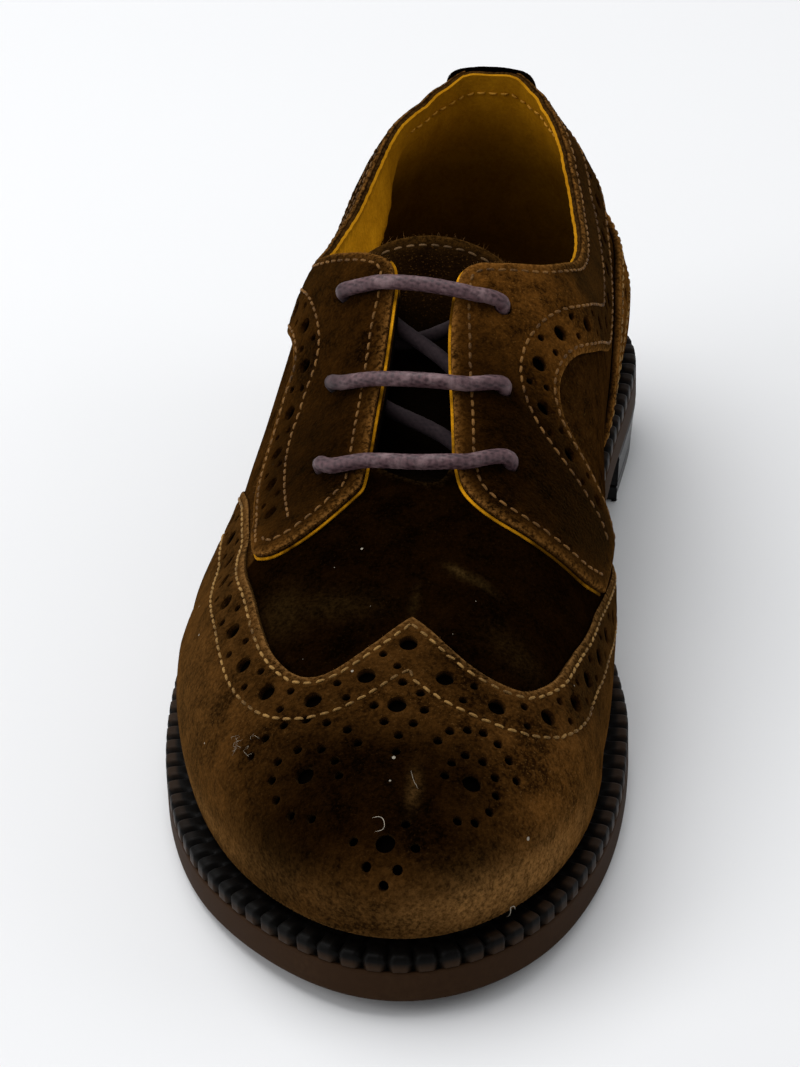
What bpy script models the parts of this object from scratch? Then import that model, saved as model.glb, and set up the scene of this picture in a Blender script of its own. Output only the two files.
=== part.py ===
# A child's right derby shoe: wing-tip upper in suede on a ribbed welt, outsole and stacked heel.
# Lengths are in millimetres and are turned into metres when a mesh is made.
# "Along" runs forward from the back of the sole, "across" is + to the medial side, z is up from the floor.
import bpy
import numpy as np
from mathutils import Vector
from mathutils.geometry import delaunay_2d_cdt

MM = 0.001

# driving dimensions
LENGTH = 210.0           # back of the outsole to its tip
HEEL_CENTRE = 31.0       # centre of the round heel
TOE_CENTRE = 137.0       # centre of the round toe
HEEL_BACK = 2.5          # rearmost point of the upper's widest line
TOE_TIP = 206.0          # foremost point of the upper's widest line
HEEL_ROUND = 2.2         # power of the heel's round
TOE_ROUND = 2.0          # power of the toe's round
BEND_START = 88.0        # where the forefoot begins to swing in
TIP_SWING = 5.8          # how far the tip has swung to the medial side
BALL_SLANT = 0.30        # slope of the ball line across the foot
WALL = 1.8               # upper and its lining
OUTSOLE_THICK = 5.4
WELT_THICK = 3.0
INSOLE_THICK = 3.7
GAP = 0.3                # between pieces that meet
OVERLAY_LOW = 0.45       # underside of a sewn-on piece above the upper
OVERLAY_HIGH = 1.65      # its top
OVERLAY_HEM = 3.5        # how far a sewn-on piece stops short of the welt
FEATHER_RISE = OUTSOLE_THICK + GAP + WELT_THICK + GAP
WELT_INSET = 4.0         # inner edge of the welt, from the upper's lower edge
TOOTH_COUNT = 120
TOOTH_DEPTH = 1.0
TOOTH_LAND = 0.55        # share of a tooth's pitch that is its flat
HEEL_BREAST = 50.0       # front of the heel block
HEEL_TAPER = 1.2
EYELET_RADIUS = 2.3
LACE_RADIUS = 1.35
LACE_OVER = OVERLAY_HIGH + GAP + LACE_RADIUS + 0.2   # the bars' centre line above the upper
LACE_UNDER = -WALL - GAP - LACE_RADIUS - 0.2     # the hidden runs' centre line below it
LACE_SAG = 0.45          # the bars' dip between the facings
TONGUE_THICK = 2.2
TONGUE_DROP = 10.6       # tongue below the crest at the laces
TONGUE_TOP_DROP = 9.6    # and at its free end
TONGUE_CROWN = 24.0      # radius of the tongue's cross curve
TONGUE_MIDDLE = -1.0     # where that curve is highest
NET_PITCH = 6.5          # spacing of the upper's mesh
PROFILE_STEPS = 44
TUCK_STEPS = 12
TUCK_TURN = 0.75 * np.pi / 2

# half widths of the widest line: along, lateral, medial
WIDTHS = np.array([(31, 27.5, 27.5), (60, 27.3, 28.6), (75, 27.0, 30.0), (90, 28.6, 32.5),
                   (111, 31.2, 36.5), (137, 36.2, 38.2)])
# crest of the last: along, height, shift to medial
CREST = np.array([(0, 92, 0), (31, 92, 0), (55, 85, 0), (75, 76, 0), (95, 67, 0.5), (115, 58, 2.5),
                  (140, 49.5, 5), (165, 43, 6.5), (185, 39.5, 6), (206, 36, 4)])
# sections: along, rise of the widest line above the welt, tuck under it, lateral and medial fullness
SECTIONS = np.array([(2.5, 12, 2.0, 2.20, 2.20), (5, 12, 2.0, 1.75, 1.75), (10, 12, 2.0, 1.42, 1.42),
                     (18, 12.5, 2.0, 1.34, 1.34), (31, 13, 2.0, 1.36, 1.40), (45, 13, 2.2, 1.46, 1.70),
                     (60, 13, 2.5, 1.85, 2.30), (75, 12.5, 2.8, 2.40, 2.80), (90, 12, 3.0, 1.90, 2.30),
                     (103, 11.5, 2.8, 1.58, 2.00), (115, 11, 2.5, 1.47, 2.00), (137, 9, 2.0, 1.64, 2.12),
                     (206, 8, 1.5, 2.40, 2.40)])
# underside of the outsole: along, height (heel seat, arch, flat tread, toe spring)
UNDERSIDE = np.array([(0, 10.5), (52, 10.5), (75, 7.0), (95, 3.0), (118, 0), (160, 0), (185, 0.9), (210, 2.8)])
# outsole edge beyond the widest line: along, lateral, medial
MARGINS = np.array([(2.5, 2.5, 2.5), (31, 2.5, 2.5), (60, 2.5, 0.5), (85, 2.5, -2.0), (111, 3.0, -0.5),
                    (137, 3.3, 2.8), (180, 4.6, 3.2), (206, 3.6, 3.6)])

# pattern of the upper on its flattened surface: across (girth from the crest), along
TOPLINE_LATERAL = [(-13.6, -0.4), (-25, 11.5), (-36.5, 35), (-37.5, 50.5), (-36.5, 61.5), (-31.5, 72.5),
                   (-24.5, 79.5), (-16.5, 84.5), (-9, 88.2), (-5.4, 91), (-4.4, 96)]
TOPLINE_MEDIAL = [(13.6, -0.4), (24.5, 12), (35.5, 35), (37.5, 49.5), (37.5, 58.5), (34.5, 66),
                  (29, 73), (22, 80), (14, 85), (9.5, 87.4), (7, 90.5), (6.4, 95.5)]
GAP_LATERAL = [(-4.4, 96), (-5, 103), (-6.2, 112), (-7.2, 120), (-8.2, 129)]
GAP_MEDIAL = [(6.4, 95.5), (6.2, 101), (6.5, 109.5), (7.1, 117), (7.6, 126)]
THROAT = [(-8.2, 129), (-5, 132.5), (0.5, 133.6), (5, 131.5), (7.6, 126)]
BACK_EDGE = [(-13.6, -0.4), (0, -3.6), (13.6, -0.4)]
FRONT_LATERAL = [(-8.2, 129), (-9.1, 136), (-10.6, 141), (-13.4, 145.8), (-17, 149.4), (-21, 151.2), (-25, 150.4),
                 (-27.3, 148.2)]
FRONT_MEDIAL = [(7.6, 126), (9, 131), (11.7, 133), (15.6, 133.5), (20.5, 132.7), (28.5, 130.6), (36.5, 127.4),
                (44, 121.8)]
SWAN_LATERAL = [(-27.3, 148.2), (-32, 140), (-34, 128), (-33.5, 115), (-31, 105), (-28.5, 98.5), (-31, 91.5),
                (-38, 83.5), (-46, 75.5), (-51.5, 64), (-51.5, 50.5), (-51, 35), (-40.5, 9), (-27, -5.5),
                (-17, -12.5)]
SWAN_MEDIAL = [(50.5, 105), (46.5, 103.2), (40.5, 103.2), (34.8, 102.6), (31, 101.2), (29, 97.5), (29.6, 93),
               (33, 87.5), (41, 79.5), (52.5, 67), (55, 60.5), (54, 49.5), (51.5, 35), (40.5, 9), (27, -5.5),
               (17, -12.5)]
WING_EDGE = [(-74, 88), (-61, 97), (-49, 108), (-40, 121.5), (-36.6, 132), (-34, 141.5), (-28.2, 151), (-22, 159),
             (-19, 165), (-16.2, 171), (-12.7, 175.6), (-9.5, 177.2), (-6, 175.8), (-0.7, 170.2), (2, 167), (4.9, 164)]
WING_EDGE_MEDIAL = [(4.9, 164), (8, 165.6), (15.5, 169.8), (21.5, 171.4), (27.8, 170.4), (32, 166.8), (36, 158.5),
                    (37.7, 148.5), (38.2, 139.5), (40.9, 130.5), (45.6, 121.5), (50.4, 113), (56.5, 104), (64, 96), (74, 87)]
COUNTER_EDGE = [(-75, 66), (-69, 59), (-63, 50.5), (-59, 35), (-50, 7.5), (-23, -19.5), (0, -25.5),
                (23, -19.5), (50, 7.5), (59.5, 35), (65, 49.5), (71, 56.5), (78, 62)]
STRIP_SIDE = [(12, -1), (14.5, -13), (15.8, -21.5)]
STRIP_FOOT = [(15.8, -21.5), (0, -24), (-15.8, -21.5)]
TONGUE_EDGE = [(-15.2, 80), (-14, 76), (-9, 74.2), (0, 73.6), (9, 74), (13.6, 75.8), (15.5, 80), (16, 92), (16.5, 110),
               (17, 128), (14, 141), (4, 144), (-4, 142), (-7, 132), (-9, 123), (-13, 110), (-14.5, 92)]
# eyelets from the top row down: across, along
EYELETS_LATERAL = [(-14.3, 94), (-15.9, 111), (-17, 131.5)]
EYELETS_MEDIAL = [(15, 92.8), (16.4, 107), (18, 121)]

# the lace's hidden end: across, along
LACE_END = (-10.5, 99.5)
# how far each bar bows forward, from the top row down
LACE_BOWS = [2.4, 5.6, 5.6]
# the lace in the throat, on its way to each bar: across, along, drop below the crest
LACE_RUNS = [[(-7.5, 99, 7.5), (-4, 98.2, 8.3), (0, 96.6, 8.2), (5, 94.8, 6.6)],
             [(-4.5, 97.8, 5.2), (4.5, 102.4, 5.2)],
             [(-5, 113.4, 6.7), (5, 117, 5.4)]]

# surface colours: red, green, blue, roughness
SUEDE = (0.105, 0.058, 0.022, 0.95)
DARK_SUEDE = (0.040, 0.022, 0.012, 0.95)
RUBBER = (0.012, 0.011, 0.011, 0.45)
SOLE_BROWN = (0.060, 0.040, 0.030, 0.50)
LINING = (0.36, 0.19, 0.02, 0.85)
LACE_MAUVE = (0.22, 0.15, 0.16, 0.60)


# tables, curves and outlines

def smooth(table, column, at):
    """Read a column of a table along a smooth curve that never overshoots its rows."""
    xs, ys = table[:, 0], table[:, column]
    at = np.clip(np.asarray(at, float), xs[0], xs[-1])
    step = np.diff(xs)
    rise = np.diff(ys) / step
    slope = np.zeros_like(ys)
    same = rise[:-1] * rise[1:] > 0
    slope[1:-1][same] = 2 * rise[:-1][same] * rise[1:][same] / (rise[:-1] + rise[1:])[same]
    i = np.clip(np.searchsorted(xs, at, side="right") - 1, 0, len(xs) - 2)
    t = (at - xs[i]) / step[i]
    ends = (2 * t**3 - 3 * t**2 + 1) * ys[i] + (3 * t**2 - 2 * t**3) * ys[i + 1]
    return ends + step[i] * ((t**3 - 2 * t**2 + t) * slope[i] + (t**3 - t**2) * slope[i + 1])


def curve(points, pitch):
    """Points about a pitch apart along a smooth curve through the given ones."""
    p = np.asarray(points, float)
    p = np.vstack([2 * p[0] - p[1], p, 2 * p[-1] - p[-2]])
    out = []
    for a, b, c, d in zip(p, p[1:], p[2:], p[3:]):
        count = max(1, int(round(np.linalg.norm(c - b) / pitch)))
        for t in np.arange(count) / count:
            out.append(0.5 * (2 * b + (c - a) * t + (2 * a - 5 * b + 4 * c - d) * t**2
                              + (3 * b - 3 * c + d - a) * t**3))
    return np.array(out + [p[-2]])


def loop(*runs):
    """A closed outline from curves that meet end to end."""
    return np.vstack([run[:-1] for run in runs])


def mirror(points):
    return [(-across, along) for across, along in points]


def circle(centre, radius, count):
    turn = np.arange(count) * 2 * np.pi / count
    return np.asarray(centre) + radius * np.stack([np.cos(turn), np.sin(turn)], 1)


def resample(outline, count):
    """A closed outline with its points evenly spaced."""
    ring = np.vstack([outline, outline[:1]])
    run = np.concatenate([[0], np.cumsum(np.linalg.norm(np.diff(ring, axis=0), axis=1))])
    at = np.arange(count) * run[-1] / count
    return np.stack([np.interp(at, run, ring[:, k]) for k in (0, 1)], 1)


def grow(outline, distance):
    """A closed plan outline moved outward."""
    tangent = np.roll(outline, -1, 0) - np.roll(outline, 1, 0)
    tangent /= np.linalg.norm(tangent, axis=1)[:, None]
    normal = np.stack([tangent[:, 1], -tangent[:, 0]], 1)
    if ((outline - outline.mean(0)) * normal).sum() < 0:
        normal = -normal
    return outline + normal * np.reshape(distance, (-1, 1))


def inside(points, outline):
    """Which points lie within a closed outline."""
    x, y = points[:, :1], points[:, 1:]
    x0, y0 = outline.T
    x1, y1 = np.roll(outline, -1, 0).T
    level = np.where(y1 == y0, 1e-12, y1 - y0)
    crossing = ((y0 > y) != (y1 > y)) & (x < x0 + (y - y0) * (x1 - x0) / level)
    return crossing.sum(1) % 2 == 1


# the last: rays run from its crest down to the welt, and a flat pattern lies on them

def underside(along):
    return smooth(UNDERSIDE, 1, along)


def swing(along):
    return TIP_SWING * (np.clip(along - BEND_START, 0, None) / (TOE_TIP - BEND_START)) ** 2


def slant(along):
    t = np.clip((along - HEEL_CENTRE) / (TOE_CENTRE - HEEL_CENTRE), 0, 1)
    return BALL_SLANT * t * t * (3 - 2 * t)


def ray_of(pattern):
    """The ray under each pattern point: its start on the crest line, its direction and its run."""
    start = np.clip(pattern[:, 1], HEEL_CENTRE, TOE_CENTRE)
    step = np.stack([pattern[:, 0], pattern[:, 1] - start], 1)
    run = np.linalg.norm(step, axis=1)
    away = np.where(run[:, None] > 1e-9, step / np.maximum(run, 1e-9)[:, None], (1.0, 0.0))
    return start, away, run


def profiles(start, away):
    """Each ray's section from the crest over the side and under to the welt, as a polyline."""
    ux, uy = away.T
    medial = ux > 0
    width = np.where(medial, smooth(WIDTHS, 2, start), smooth(WIDTHS, 1, start))
    ahead = np.where(uy > 0, TOE_TIP - TOE_CENTRE, HEEL_CENTRE - HEEL_BACK)
    power = np.where(uy > 0, TOE_ROUND, HEEL_ROUND)
    reach = ((np.abs(ux) / width) ** power + (np.abs(uy) / ahead) ** power) ** (-1 / power)
    foot = start + reach * uy
    full = np.where(medial, smooth(SECTIONS, 4, foot), smooth(SECTIONS, 3, foot))[:, None]
    welt = (underside(foot + slant(foot) * reach * ux) + FEATHER_RISE)[:, None]
    rise, tuck = smooth(SECTIONS, 1, foot)[:, None], smooth(SECTIONS, 2, foot)[:, None]
    over = np.linspace(0, np.pi / 2, PROFILE_STEPS)[None]
    under = np.linspace(0, TUCK_TURN, TUCK_STEPS + 1)[None, 1:]
    tucked = (1 - np.cos(under)) / (1 - np.cos(TUCK_TURN))
    share = np.hstack([np.sin(over) ** (2 / full), 1 - tuck / reach[:, None] * tucked])
    across = share * (reach * ux)[:, None]
    along = start[:, None] + share * (reach * uy)[:, None]
    forward = along + slant(along) * across
    crest = smooth(CREST, 1, forward[:, :PROFILE_STEPS])
    high = welt + rise + (crest - welt - rise) * np.cos(over) ** (2 / full)
    low = welt + rise * (1 - np.sin(under) / np.sin(TUCK_TURN))
    sideways = across + swing(along) + smooth(CREST, 2, start)[:, None] * (1 - share)
    return np.stack([sideways, forward, np.hstack([high, low])], -1)


def lengths(lines):
    return np.cumsum(np.linalg.norm(np.diff(lines, axis=1), axis=2), 1)


def foot_of(pattern, up=0.0):
    """Where the rays through pattern points meet the welt, or a little above it."""
    start, away, _ = ray_of(np.atleast_2d(pattern))
    girth = lengths(profiles(start, away))[:, -1] - up
    return np.stack([np.zeros_like(start), start], 1) + away * girth[:, None]


def on_last(pattern):
    """Pattern points laid on the last's surface."""
    start, away, run = ray_of(pattern)
    lines = profiles(start, away)
    far = np.hstack([np.zeros((len(lines), 1)), lengths(lines)])
    k = np.clip((far[:, 1:-1] < run[:, None]).sum(1), 0, far.shape[1] - 2)
    i = np.arange(len(lines))
    t = (run - far[i, k]) / np.maximum(far[i, k + 1] - far[i, k], 1e-9)
    return lines[i, k] + (lines[i, k + 1] - lines[i, k]) * t[:, None]


def lifted(pattern, lift):
    """Pattern points at a height above the last's surface."""
    pattern = np.asarray(pattern, float)
    reach = 0.4
    east, north = np.array([(reach, 0.0)]), np.array([(0.0, reach)])
    normal = np.cross(on_last(pattern + east) - on_last(pattern - east),
                      on_last(pattern + north) - on_last(pattern - north))
    normal /= np.linalg.norm(normal, axis=1)[:, None]
    return on_last(pattern) + normal * np.reshape(lift, (-1, 1))


def ray_ring(pitch):
    """Pattern directions all round the shoe: from the heel by the lateral side, the toe and back."""
    turn = np.linspace(0, np.pi / 2, int(85 / pitch) + 2)
    sides = np.linspace(HEEL_CENTRE, TOE_CENTRE, int((TOE_CENTRE - HEEL_CENTRE) / pitch) + 2)
    half = [(-np.sin(t), HEEL_CENTRE - np.cos(t)) for t in turn[:-1]]
    half += [(-1.0, along) for along in sides[:-1]]
    half += [(-np.cos(t), TOE_CENTRE + np.sin(t)) for t in turn]
    return np.array(half + mirror(half[-2:0:-1]))


def net(pitch):
    """Pattern points for the insides of the upper's pieces, closer together near the welt."""
    rows = (2.6, 5.6, 9.5, 14.5) + tuple(np.arange(20.5, 100, pitch))
    kept = np.empty((0, 2))
    for up in rows:
        for point in foot_of(ray_ring(pitch), up):
            clear = len(kept) == 0 or np.linalg.norm(kept - point, axis=1).min() > 0.55 * min(pitch, up + 1)
            if clear and ray_of(point[None])[2][0] > 0.5 * pitch:
                kept = np.vstack([kept, point])
    return np.vstack([kept, [(0.0, along) for along in (TOE_CENTRE + 1, TOE_CENTRE + 6)]])


def below(edge, up, over_toe):
    """The outline of a piece under an edge that runs from the lateral welt to the medial one."""
    start, _, run = ray_of(edge)
    room = np.linalg.norm(foot_of(edge, up) - np.stack([0 * start, start], 1), axis=1) - run
    edge = edge[room > 1]
    edge = np.vstack([foot_of(edge[0], up), edge, foot_of(edge[-1], up)])
    ring = foot_of(ray_ring(NET_PITCH), up)
    lateral, medial = (np.linalg.norm(ring - edge[k], axis=1).argmin() for k in (0, -1))
    if over_toe:
        return np.vstack([edge, ring[lateral + 1:medial][::-1]])
    return np.vstack([edge, ring[medial + 1:], ring[:lateral]])


# meshes

def new_material(name, colour):
    material = bpy.data.materials.new(name)
    material.use_nodes = True
    shader = material.node_tree.nodes["Principled BSDF"]
    shader.inputs["Base Color"].default_value = (*colour[:3], 1.0)
    shader.inputs["Roughness"].default_value = colour[3]
    return material


def in_frame(points):
    """Points in metres, from the middle of the sole's plan box, the toe towards -Y."""
    middle = SOLE_EDGE.min(0) + np.ptp(SOLE_EDGE, axis=0) / 2
    across, along = (points[:, :2] - middle).T
    return np.stack([across, -along, points[:, 2]], 1) * MM


def finish(name, verts, faces, colour, smooth_angle=40):
    """A named object with its material, in metres, the toe towards -Y."""
    mesh = bpy.data.meshes.new(name)
    mesh.from_pydata([Vector(v) for v in in_frame(verts)], [], faces)
    mesh.shade_smooth()
    mesh.set_sharp_from_angle(angle=np.radians(smooth_angle))
    mesh.materials.append(new_material(name, colour))
    item = bpy.data.objects.new(name, mesh)
    bpy.context.scene.collection.objects.link(item)
    return item


def slab(name, outline, inner, low, high, colour, holes=()):
    """A solid between two sheets that share one outline, with holes right through it."""
    rings = [outline, *holes]
    keep = inside(inner, outline)
    for ring in rings:
        far = np.linalg.norm(inner[:, None] - ring[None], axis=2).min(1)
        keep &= far > 0.45 * np.linalg.norm(np.roll(ring, -1, 0) - ring, axis=1).mean() + 0.5
    for hole in holes:
        keep &= ~inside(inner, hole)
    points = np.vstack([*rings, inner[keep]])
    edges, base = [], 0
    for ring in rings:
        edges += [(base + k, base + (k + 1) % len(ring)) for k in range(len(ring))]
        base += len(ring)
    flat, _, faces, _, _, _ = delaunay_2d_cdt([Vector(p) for p in points], edges, [], 0, 1e-6)
    flat = np.array([tuple(v) for v in flat])
    centres = np.array([flat[list(face)].mean(0) for face in faces])
    use = inside(centres, outline)
    for hole in holes:
        use &= ~inside(centres, hole)
    top = [tuple(face) for face, good in zip(faces, use) if good]
    upper, lower = high(flat), low(flat)
    a, b, c = (upper[[face[k] for face in top]] for k in range(3))
    if (np.cross(b - a, c - a) * (upper - lower)[[face[0] for face in top]]).sum() > 0:
        top = [face[::-1] for face in top]
    count = len(flat)
    sides = set()
    for face in top:
        for edge in zip(face, face[1:] + face[:1]):
            sides.symmetric_difference_update({tuple(sorted(edge))})
    walls = [(q, p, p + count, q + count) for face in top for p, q in zip(face, face[1:] + face[:1])
             if tuple(sorted((p, q))) in sides]
    bottom = [tuple(k + count for k in face[::-1]) for face in top]
    return finish(name, np.vstack([upper, lower]), top + bottom + walls, colour)


def level(height):
    """Plan points (across, along) at a height that varies along the shoe."""
    return lambda plan: np.column_stack([plan, height(plan[:, 1])])


def grid(outline, pitch):
    """Plan points for the inside of a flat piece."""
    (x0, y0), (x1, y1) = outline.min(0), outline.max(0)
    across, along = np.meshgrid(np.arange(x0 + pitch / 2, x1, pitch), np.arange(y0 + pitch / 2, y1, pitch))
    return np.stack([across.ravel(), along.ravel()], 1)


# sole

def plan_edges():
    """Plan outlines of the outsole's edge and of the upper's lower edge."""
    lines = profiles(*ray_of(ray_ring(1.5))[:2])
    wide = lines[:, PROFILE_STEPS - 1, :2]
    side = np.where(wide[:, 0] > swing(wide[:, 1]), smooth(MARGINS, 2, wide[:, 1]), smooth(MARGINS, 1, wide[:, 1]))
    return resample(grow(wide, side), 400), resample(lines[:, -1, :2], 400)


def toothed(edge):
    """The welt's outer outline: a tooth, then a valley, all the way round."""
    dense = resample(edge, TOOTH_COUNT * 40)
    sunk = grow(dense, -TOOTH_DEPTH)
    stops = (0, int(40 * TOOTH_LAND), int(40 * (1 + TOOTH_LAND) / 2))
    return np.vstack([[dense[k * 40 + stops[0]], dense[k * 40 + stops[1]], sunk[k * 40 + stops[2]]]
                      for k in range(TOOTH_COUNT)])


def make_sole():
    outer = resample(SOLE_EDGE, 96)
    slab("outsole", outer, grid(outer, 11), level(underside),
         level(lambda f: underside(f) + OUTSOLE_THICK), SOLE_BROWN)
    seat = OUTSOLE_THICK + GAP
    inner = resample(grow(UPPER_EDGE, -WELT_INSET), 90)
    slab("welt", toothed(SOLE_EDGE), np.empty((0, 2)), level(lambda f: underside(f) + seat),
         level(lambda f: underside(f) + seat + WELT_THICK), RUBBER, [inner])
    board = resample(grow(UPPER_EDGE, -WELT_INSET - GAP), 80)
    slab("insole", board, grid(board, 12), level(lambda f: underside(f) + seat),
         level(lambda f: underside(f) + seat + INSOLE_THICK), LINING)
    rear = outer[outer[:, 1] < HEEL_BREAST]
    start = np.argmax(np.linalg.norm(rear - np.roll(rear, 1, 0), axis=1))
    rear = np.roll(rear, -start, 0)
    breast = curve([rear[-1], (0, HEEL_BREAST - 2.5), rear[0]], 8)
    block = np.vstack([rear, breast[1:-1]])
    middle = np.array([0, HEEL_BREAST / 2])
    def heel_foot(plan):
        shrink = 1 - HEEL_TAPER / np.maximum(np.linalg.norm(plan - middle, axis=1), HEEL_TAPER)
        return np.column_stack([middle + (plan - middle) * shrink[:, None], np.zeros(len(plan))])
    slab("heel", block, grid(block, 12), heel_foot, level(lambda f: underside(f) * 0 + UNDERSIDE[0, 1] - GAP), RUBBER)


# upper

def make_upper():
    points = net(NET_PITCH)
    pitch = 4.5
    lateral, medial = curve(TOPLINE_LATERAL, pitch), curve(TOPLINE_MEDIAL, pitch)
    slit_lateral, slit_medial = curve(GAP_LATERAL, pitch), curve(GAP_MEDIAL, pitch)
    opening = loop(lateral, slit_lateral, curve(THROAT, pitch), slit_medial[::-1], medial[::-1],
                   curve(BACK_EDGE, pitch)[::-1])
    holes = [circle(c, EYELET_RADIUS, 10) for c in EYELETS_LATERAL + EYELETS_MEDIAL]
    skin = lambda p: lifted(p, 0.0)
    lining = lambda p: lifted(p, -WALL)
    low = lambda p: lifted(p, OVERLAY_LOW)
    high = lambda p: lifted(p, OVERLAY_HIGH)
    slab("upper", foot_of(ray_ring(NET_PITCH)), points, lining, skin, SUEDE, [opening, *holes])
    wing = np.vstack([curve(WING_EDGE, pitch)[:-1], curve(WING_EDGE_MEDIAL, pitch)])
    slab("wing_cap", below(wing, OVERLAY_HEM, True), points, low, high, SUEDE)
    slab("counter", below(curve(COUNTER_EDGE, pitch), OVERLAY_HEM, False), points, low, high, SUEDE)
    rear = [np.array([SWAN_LATERAL[-1], TOPLINE_LATERAL[0]], float), np.array([SWAN_MEDIAL[-1], TOPLINE_MEDIAL[0]], float)]
    facing = loop(lateral, slit_lateral, curve(FRONT_LATERAL, pitch), curve(SWAN_LATERAL, pitch), rear[0])
    slab("facing_lateral", facing, points, low, high, SUEDE, holes[:3])
    tab = np.array([FRONT_MEDIAL[-1], SWAN_MEDIAL[0]], float)
    facing = loop(medial, slit_medial, curve(FRONT_MEDIAL, pitch), tab, curve(SWAN_MEDIAL, pitch), rear[1])
    slab("facing_medial", facing, points, low, high, SUEDE, holes[3:])
    side = curve(STRIP_SIDE, pitch)
    top = curve([STRIP_SIDE[0], (0, -3.4), mirror(STRIP_SIDE)[0]], pitch)
    strip = loop(side, curve(STRIP_FOOT, pitch), curve(mirror(STRIP_SIDE), pitch)[::-1], top[::-1])
    slab("back_strip", strip, points, low, high, DARK_SUEDE)


def make_tongue():
    """The tongue hangs below the crest at the laces and rises to the vamp's lining at its root."""
    root = WALL + GAP + 0.4
    drops = np.array([(0, TONGUE_TOP_DROP), (82, TONGUE_TOP_DROP), (97, TONGUE_DROP), (119, TONGUE_DROP), (137, root),
                      (150, root)])
    def sheet(extra):
        def place(pattern):
            across, along = pattern.T
            drop = smooth(drops, 1, along)
            bow = (across - TONGUE_MIDDLE) ** 2 / (2 * TONGUE_CROWN)
            middle = swing(along) + smooth(CREST, 2, along)
            return np.column_stack([across + middle, along, smooth(CREST, 1, along) - drop - bow - extra])
        return place
    edge = curve(TONGUE_EDGE + TONGUE_EDGE[:1], 5)[:-1]
    slab("tongue", edge, grid(edge, 6), sheet(TONGUE_THICK), sheet(0.0), DARK_SUEDE)


# lace: three bars over the facings, joined by runs beneath them

def below_crest(across, along, drop):
    """A point in the throat, at a drop below the crest."""
    forward = along + slant(along) * across
    return np.array([across + swing(along) + smooth(CREST, 2, along), forward, smooth(CREST, 1, forward) - drop])


def through(eyelet, came_from, goes_to, upward, drift):
    """The lace's way through an eyelet; the two sides say which way its runs leave."""
    across, along = eyelet
    under, over = LACE_UNDER, LACE_OVER
    rows = [(across + came_from * 3.2, along, under), (across + came_from * 0.9, along, under + 0.25),
            (across, along, -1.2), (across, along, 1.2),
            (across + goes_to * 0.9, along + drift * 0.3, over - 0.25), (across + goes_to * 3.2, along + drift, over)]
    points = lifted([row[:2] for row in rows], [row[2] for row in rows])
    return list(points if upward else points[::-1])


def bar(row, leaves=1):
    """The lace from under a row's medial eyelet, over the facings and down through the lateral one."""
    (x0, y0), (x1, y1) = EYELETS_MEDIAL[row], EYELETS_LATERAL[row]
    across = np.array([9.5, 6.8, 0.8, -5.2, -8.5])
    share = (across - x0) / (x1 - x0)
    along = y0 + (y1 - y0) * share + LACE_BOWS[row] * 4 * share * (1 - share)
    over = lifted(np.stack([across, along], 1), LACE_OVER - np.array([0, 0, LACE_SAG, 0, 0]))
    drift = 0.36 * LACE_BOWS[row]
    return through((x0, y0), -1, -1, True, drift) + list(over) + through((x1, y1), leaves, 1, False, drift)


def lace_route():
    """From the hidden end by each run in the throat to each bar; the last bar ends under its lateral eyelet."""
    route = list(lifted([LACE_END], [LACE_UNDER - 0.4]))
    for row, run in enumerate(LACE_RUNS):
        ends_here = row == len(LACE_RUNS) - 1
        route += [below_crest(*place) for place in run] + bar(row, 0 if ends_here else 1)
    return route[:-1]


def make_lace():
    points = curve(lace_route(), 3.2)
    line = bpy.data.curves.new("lace", "CURVE")
    line.dimensions = "3D"
    line.bevel_depth = LACE_RADIUS * MM
    line.bevel_resolution = 2
    line.use_fill_caps = True
    spline = line.splines.new("POLY")
    spline.points.add(len(points) - 1)
    for dot, place in zip(spline.points, in_frame(points)):
        dot.co = (*place, 1.0)
    line.materials.append(new_material("lace", LACE_MAUVE))
    item = bpy.data.objects.new("lace", line)
    bpy.context.scene.collection.objects.link(item)


for old in list(bpy.data.objects):
    bpy.data.objects.remove(old, do_unlink=True)
SOLE_EDGE, UPPER_EDGE = plan_edges()
make_sole()
make_upper()
make_tongue()
make_lace()
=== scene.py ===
import math
import bmesh
import bpy
import numpy as np
from mathutils import Matrix, Vector
from mathutils.geometry import delaunay_2d_cdt


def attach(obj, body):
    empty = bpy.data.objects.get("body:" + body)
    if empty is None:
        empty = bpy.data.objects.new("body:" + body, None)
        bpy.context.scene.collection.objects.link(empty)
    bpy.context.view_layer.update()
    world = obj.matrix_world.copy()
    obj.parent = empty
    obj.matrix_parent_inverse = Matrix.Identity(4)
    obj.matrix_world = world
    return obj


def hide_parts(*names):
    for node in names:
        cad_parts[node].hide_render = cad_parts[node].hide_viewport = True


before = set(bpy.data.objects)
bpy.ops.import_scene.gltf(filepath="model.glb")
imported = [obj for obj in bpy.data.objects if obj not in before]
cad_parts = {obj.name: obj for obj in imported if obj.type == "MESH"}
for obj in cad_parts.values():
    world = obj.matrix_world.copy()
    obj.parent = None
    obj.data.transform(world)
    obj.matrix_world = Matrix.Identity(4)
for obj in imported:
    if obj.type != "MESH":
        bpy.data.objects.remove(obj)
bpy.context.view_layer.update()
print("frame loaded:", sorted(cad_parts))
rng = np.random.default_rng(11)

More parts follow.
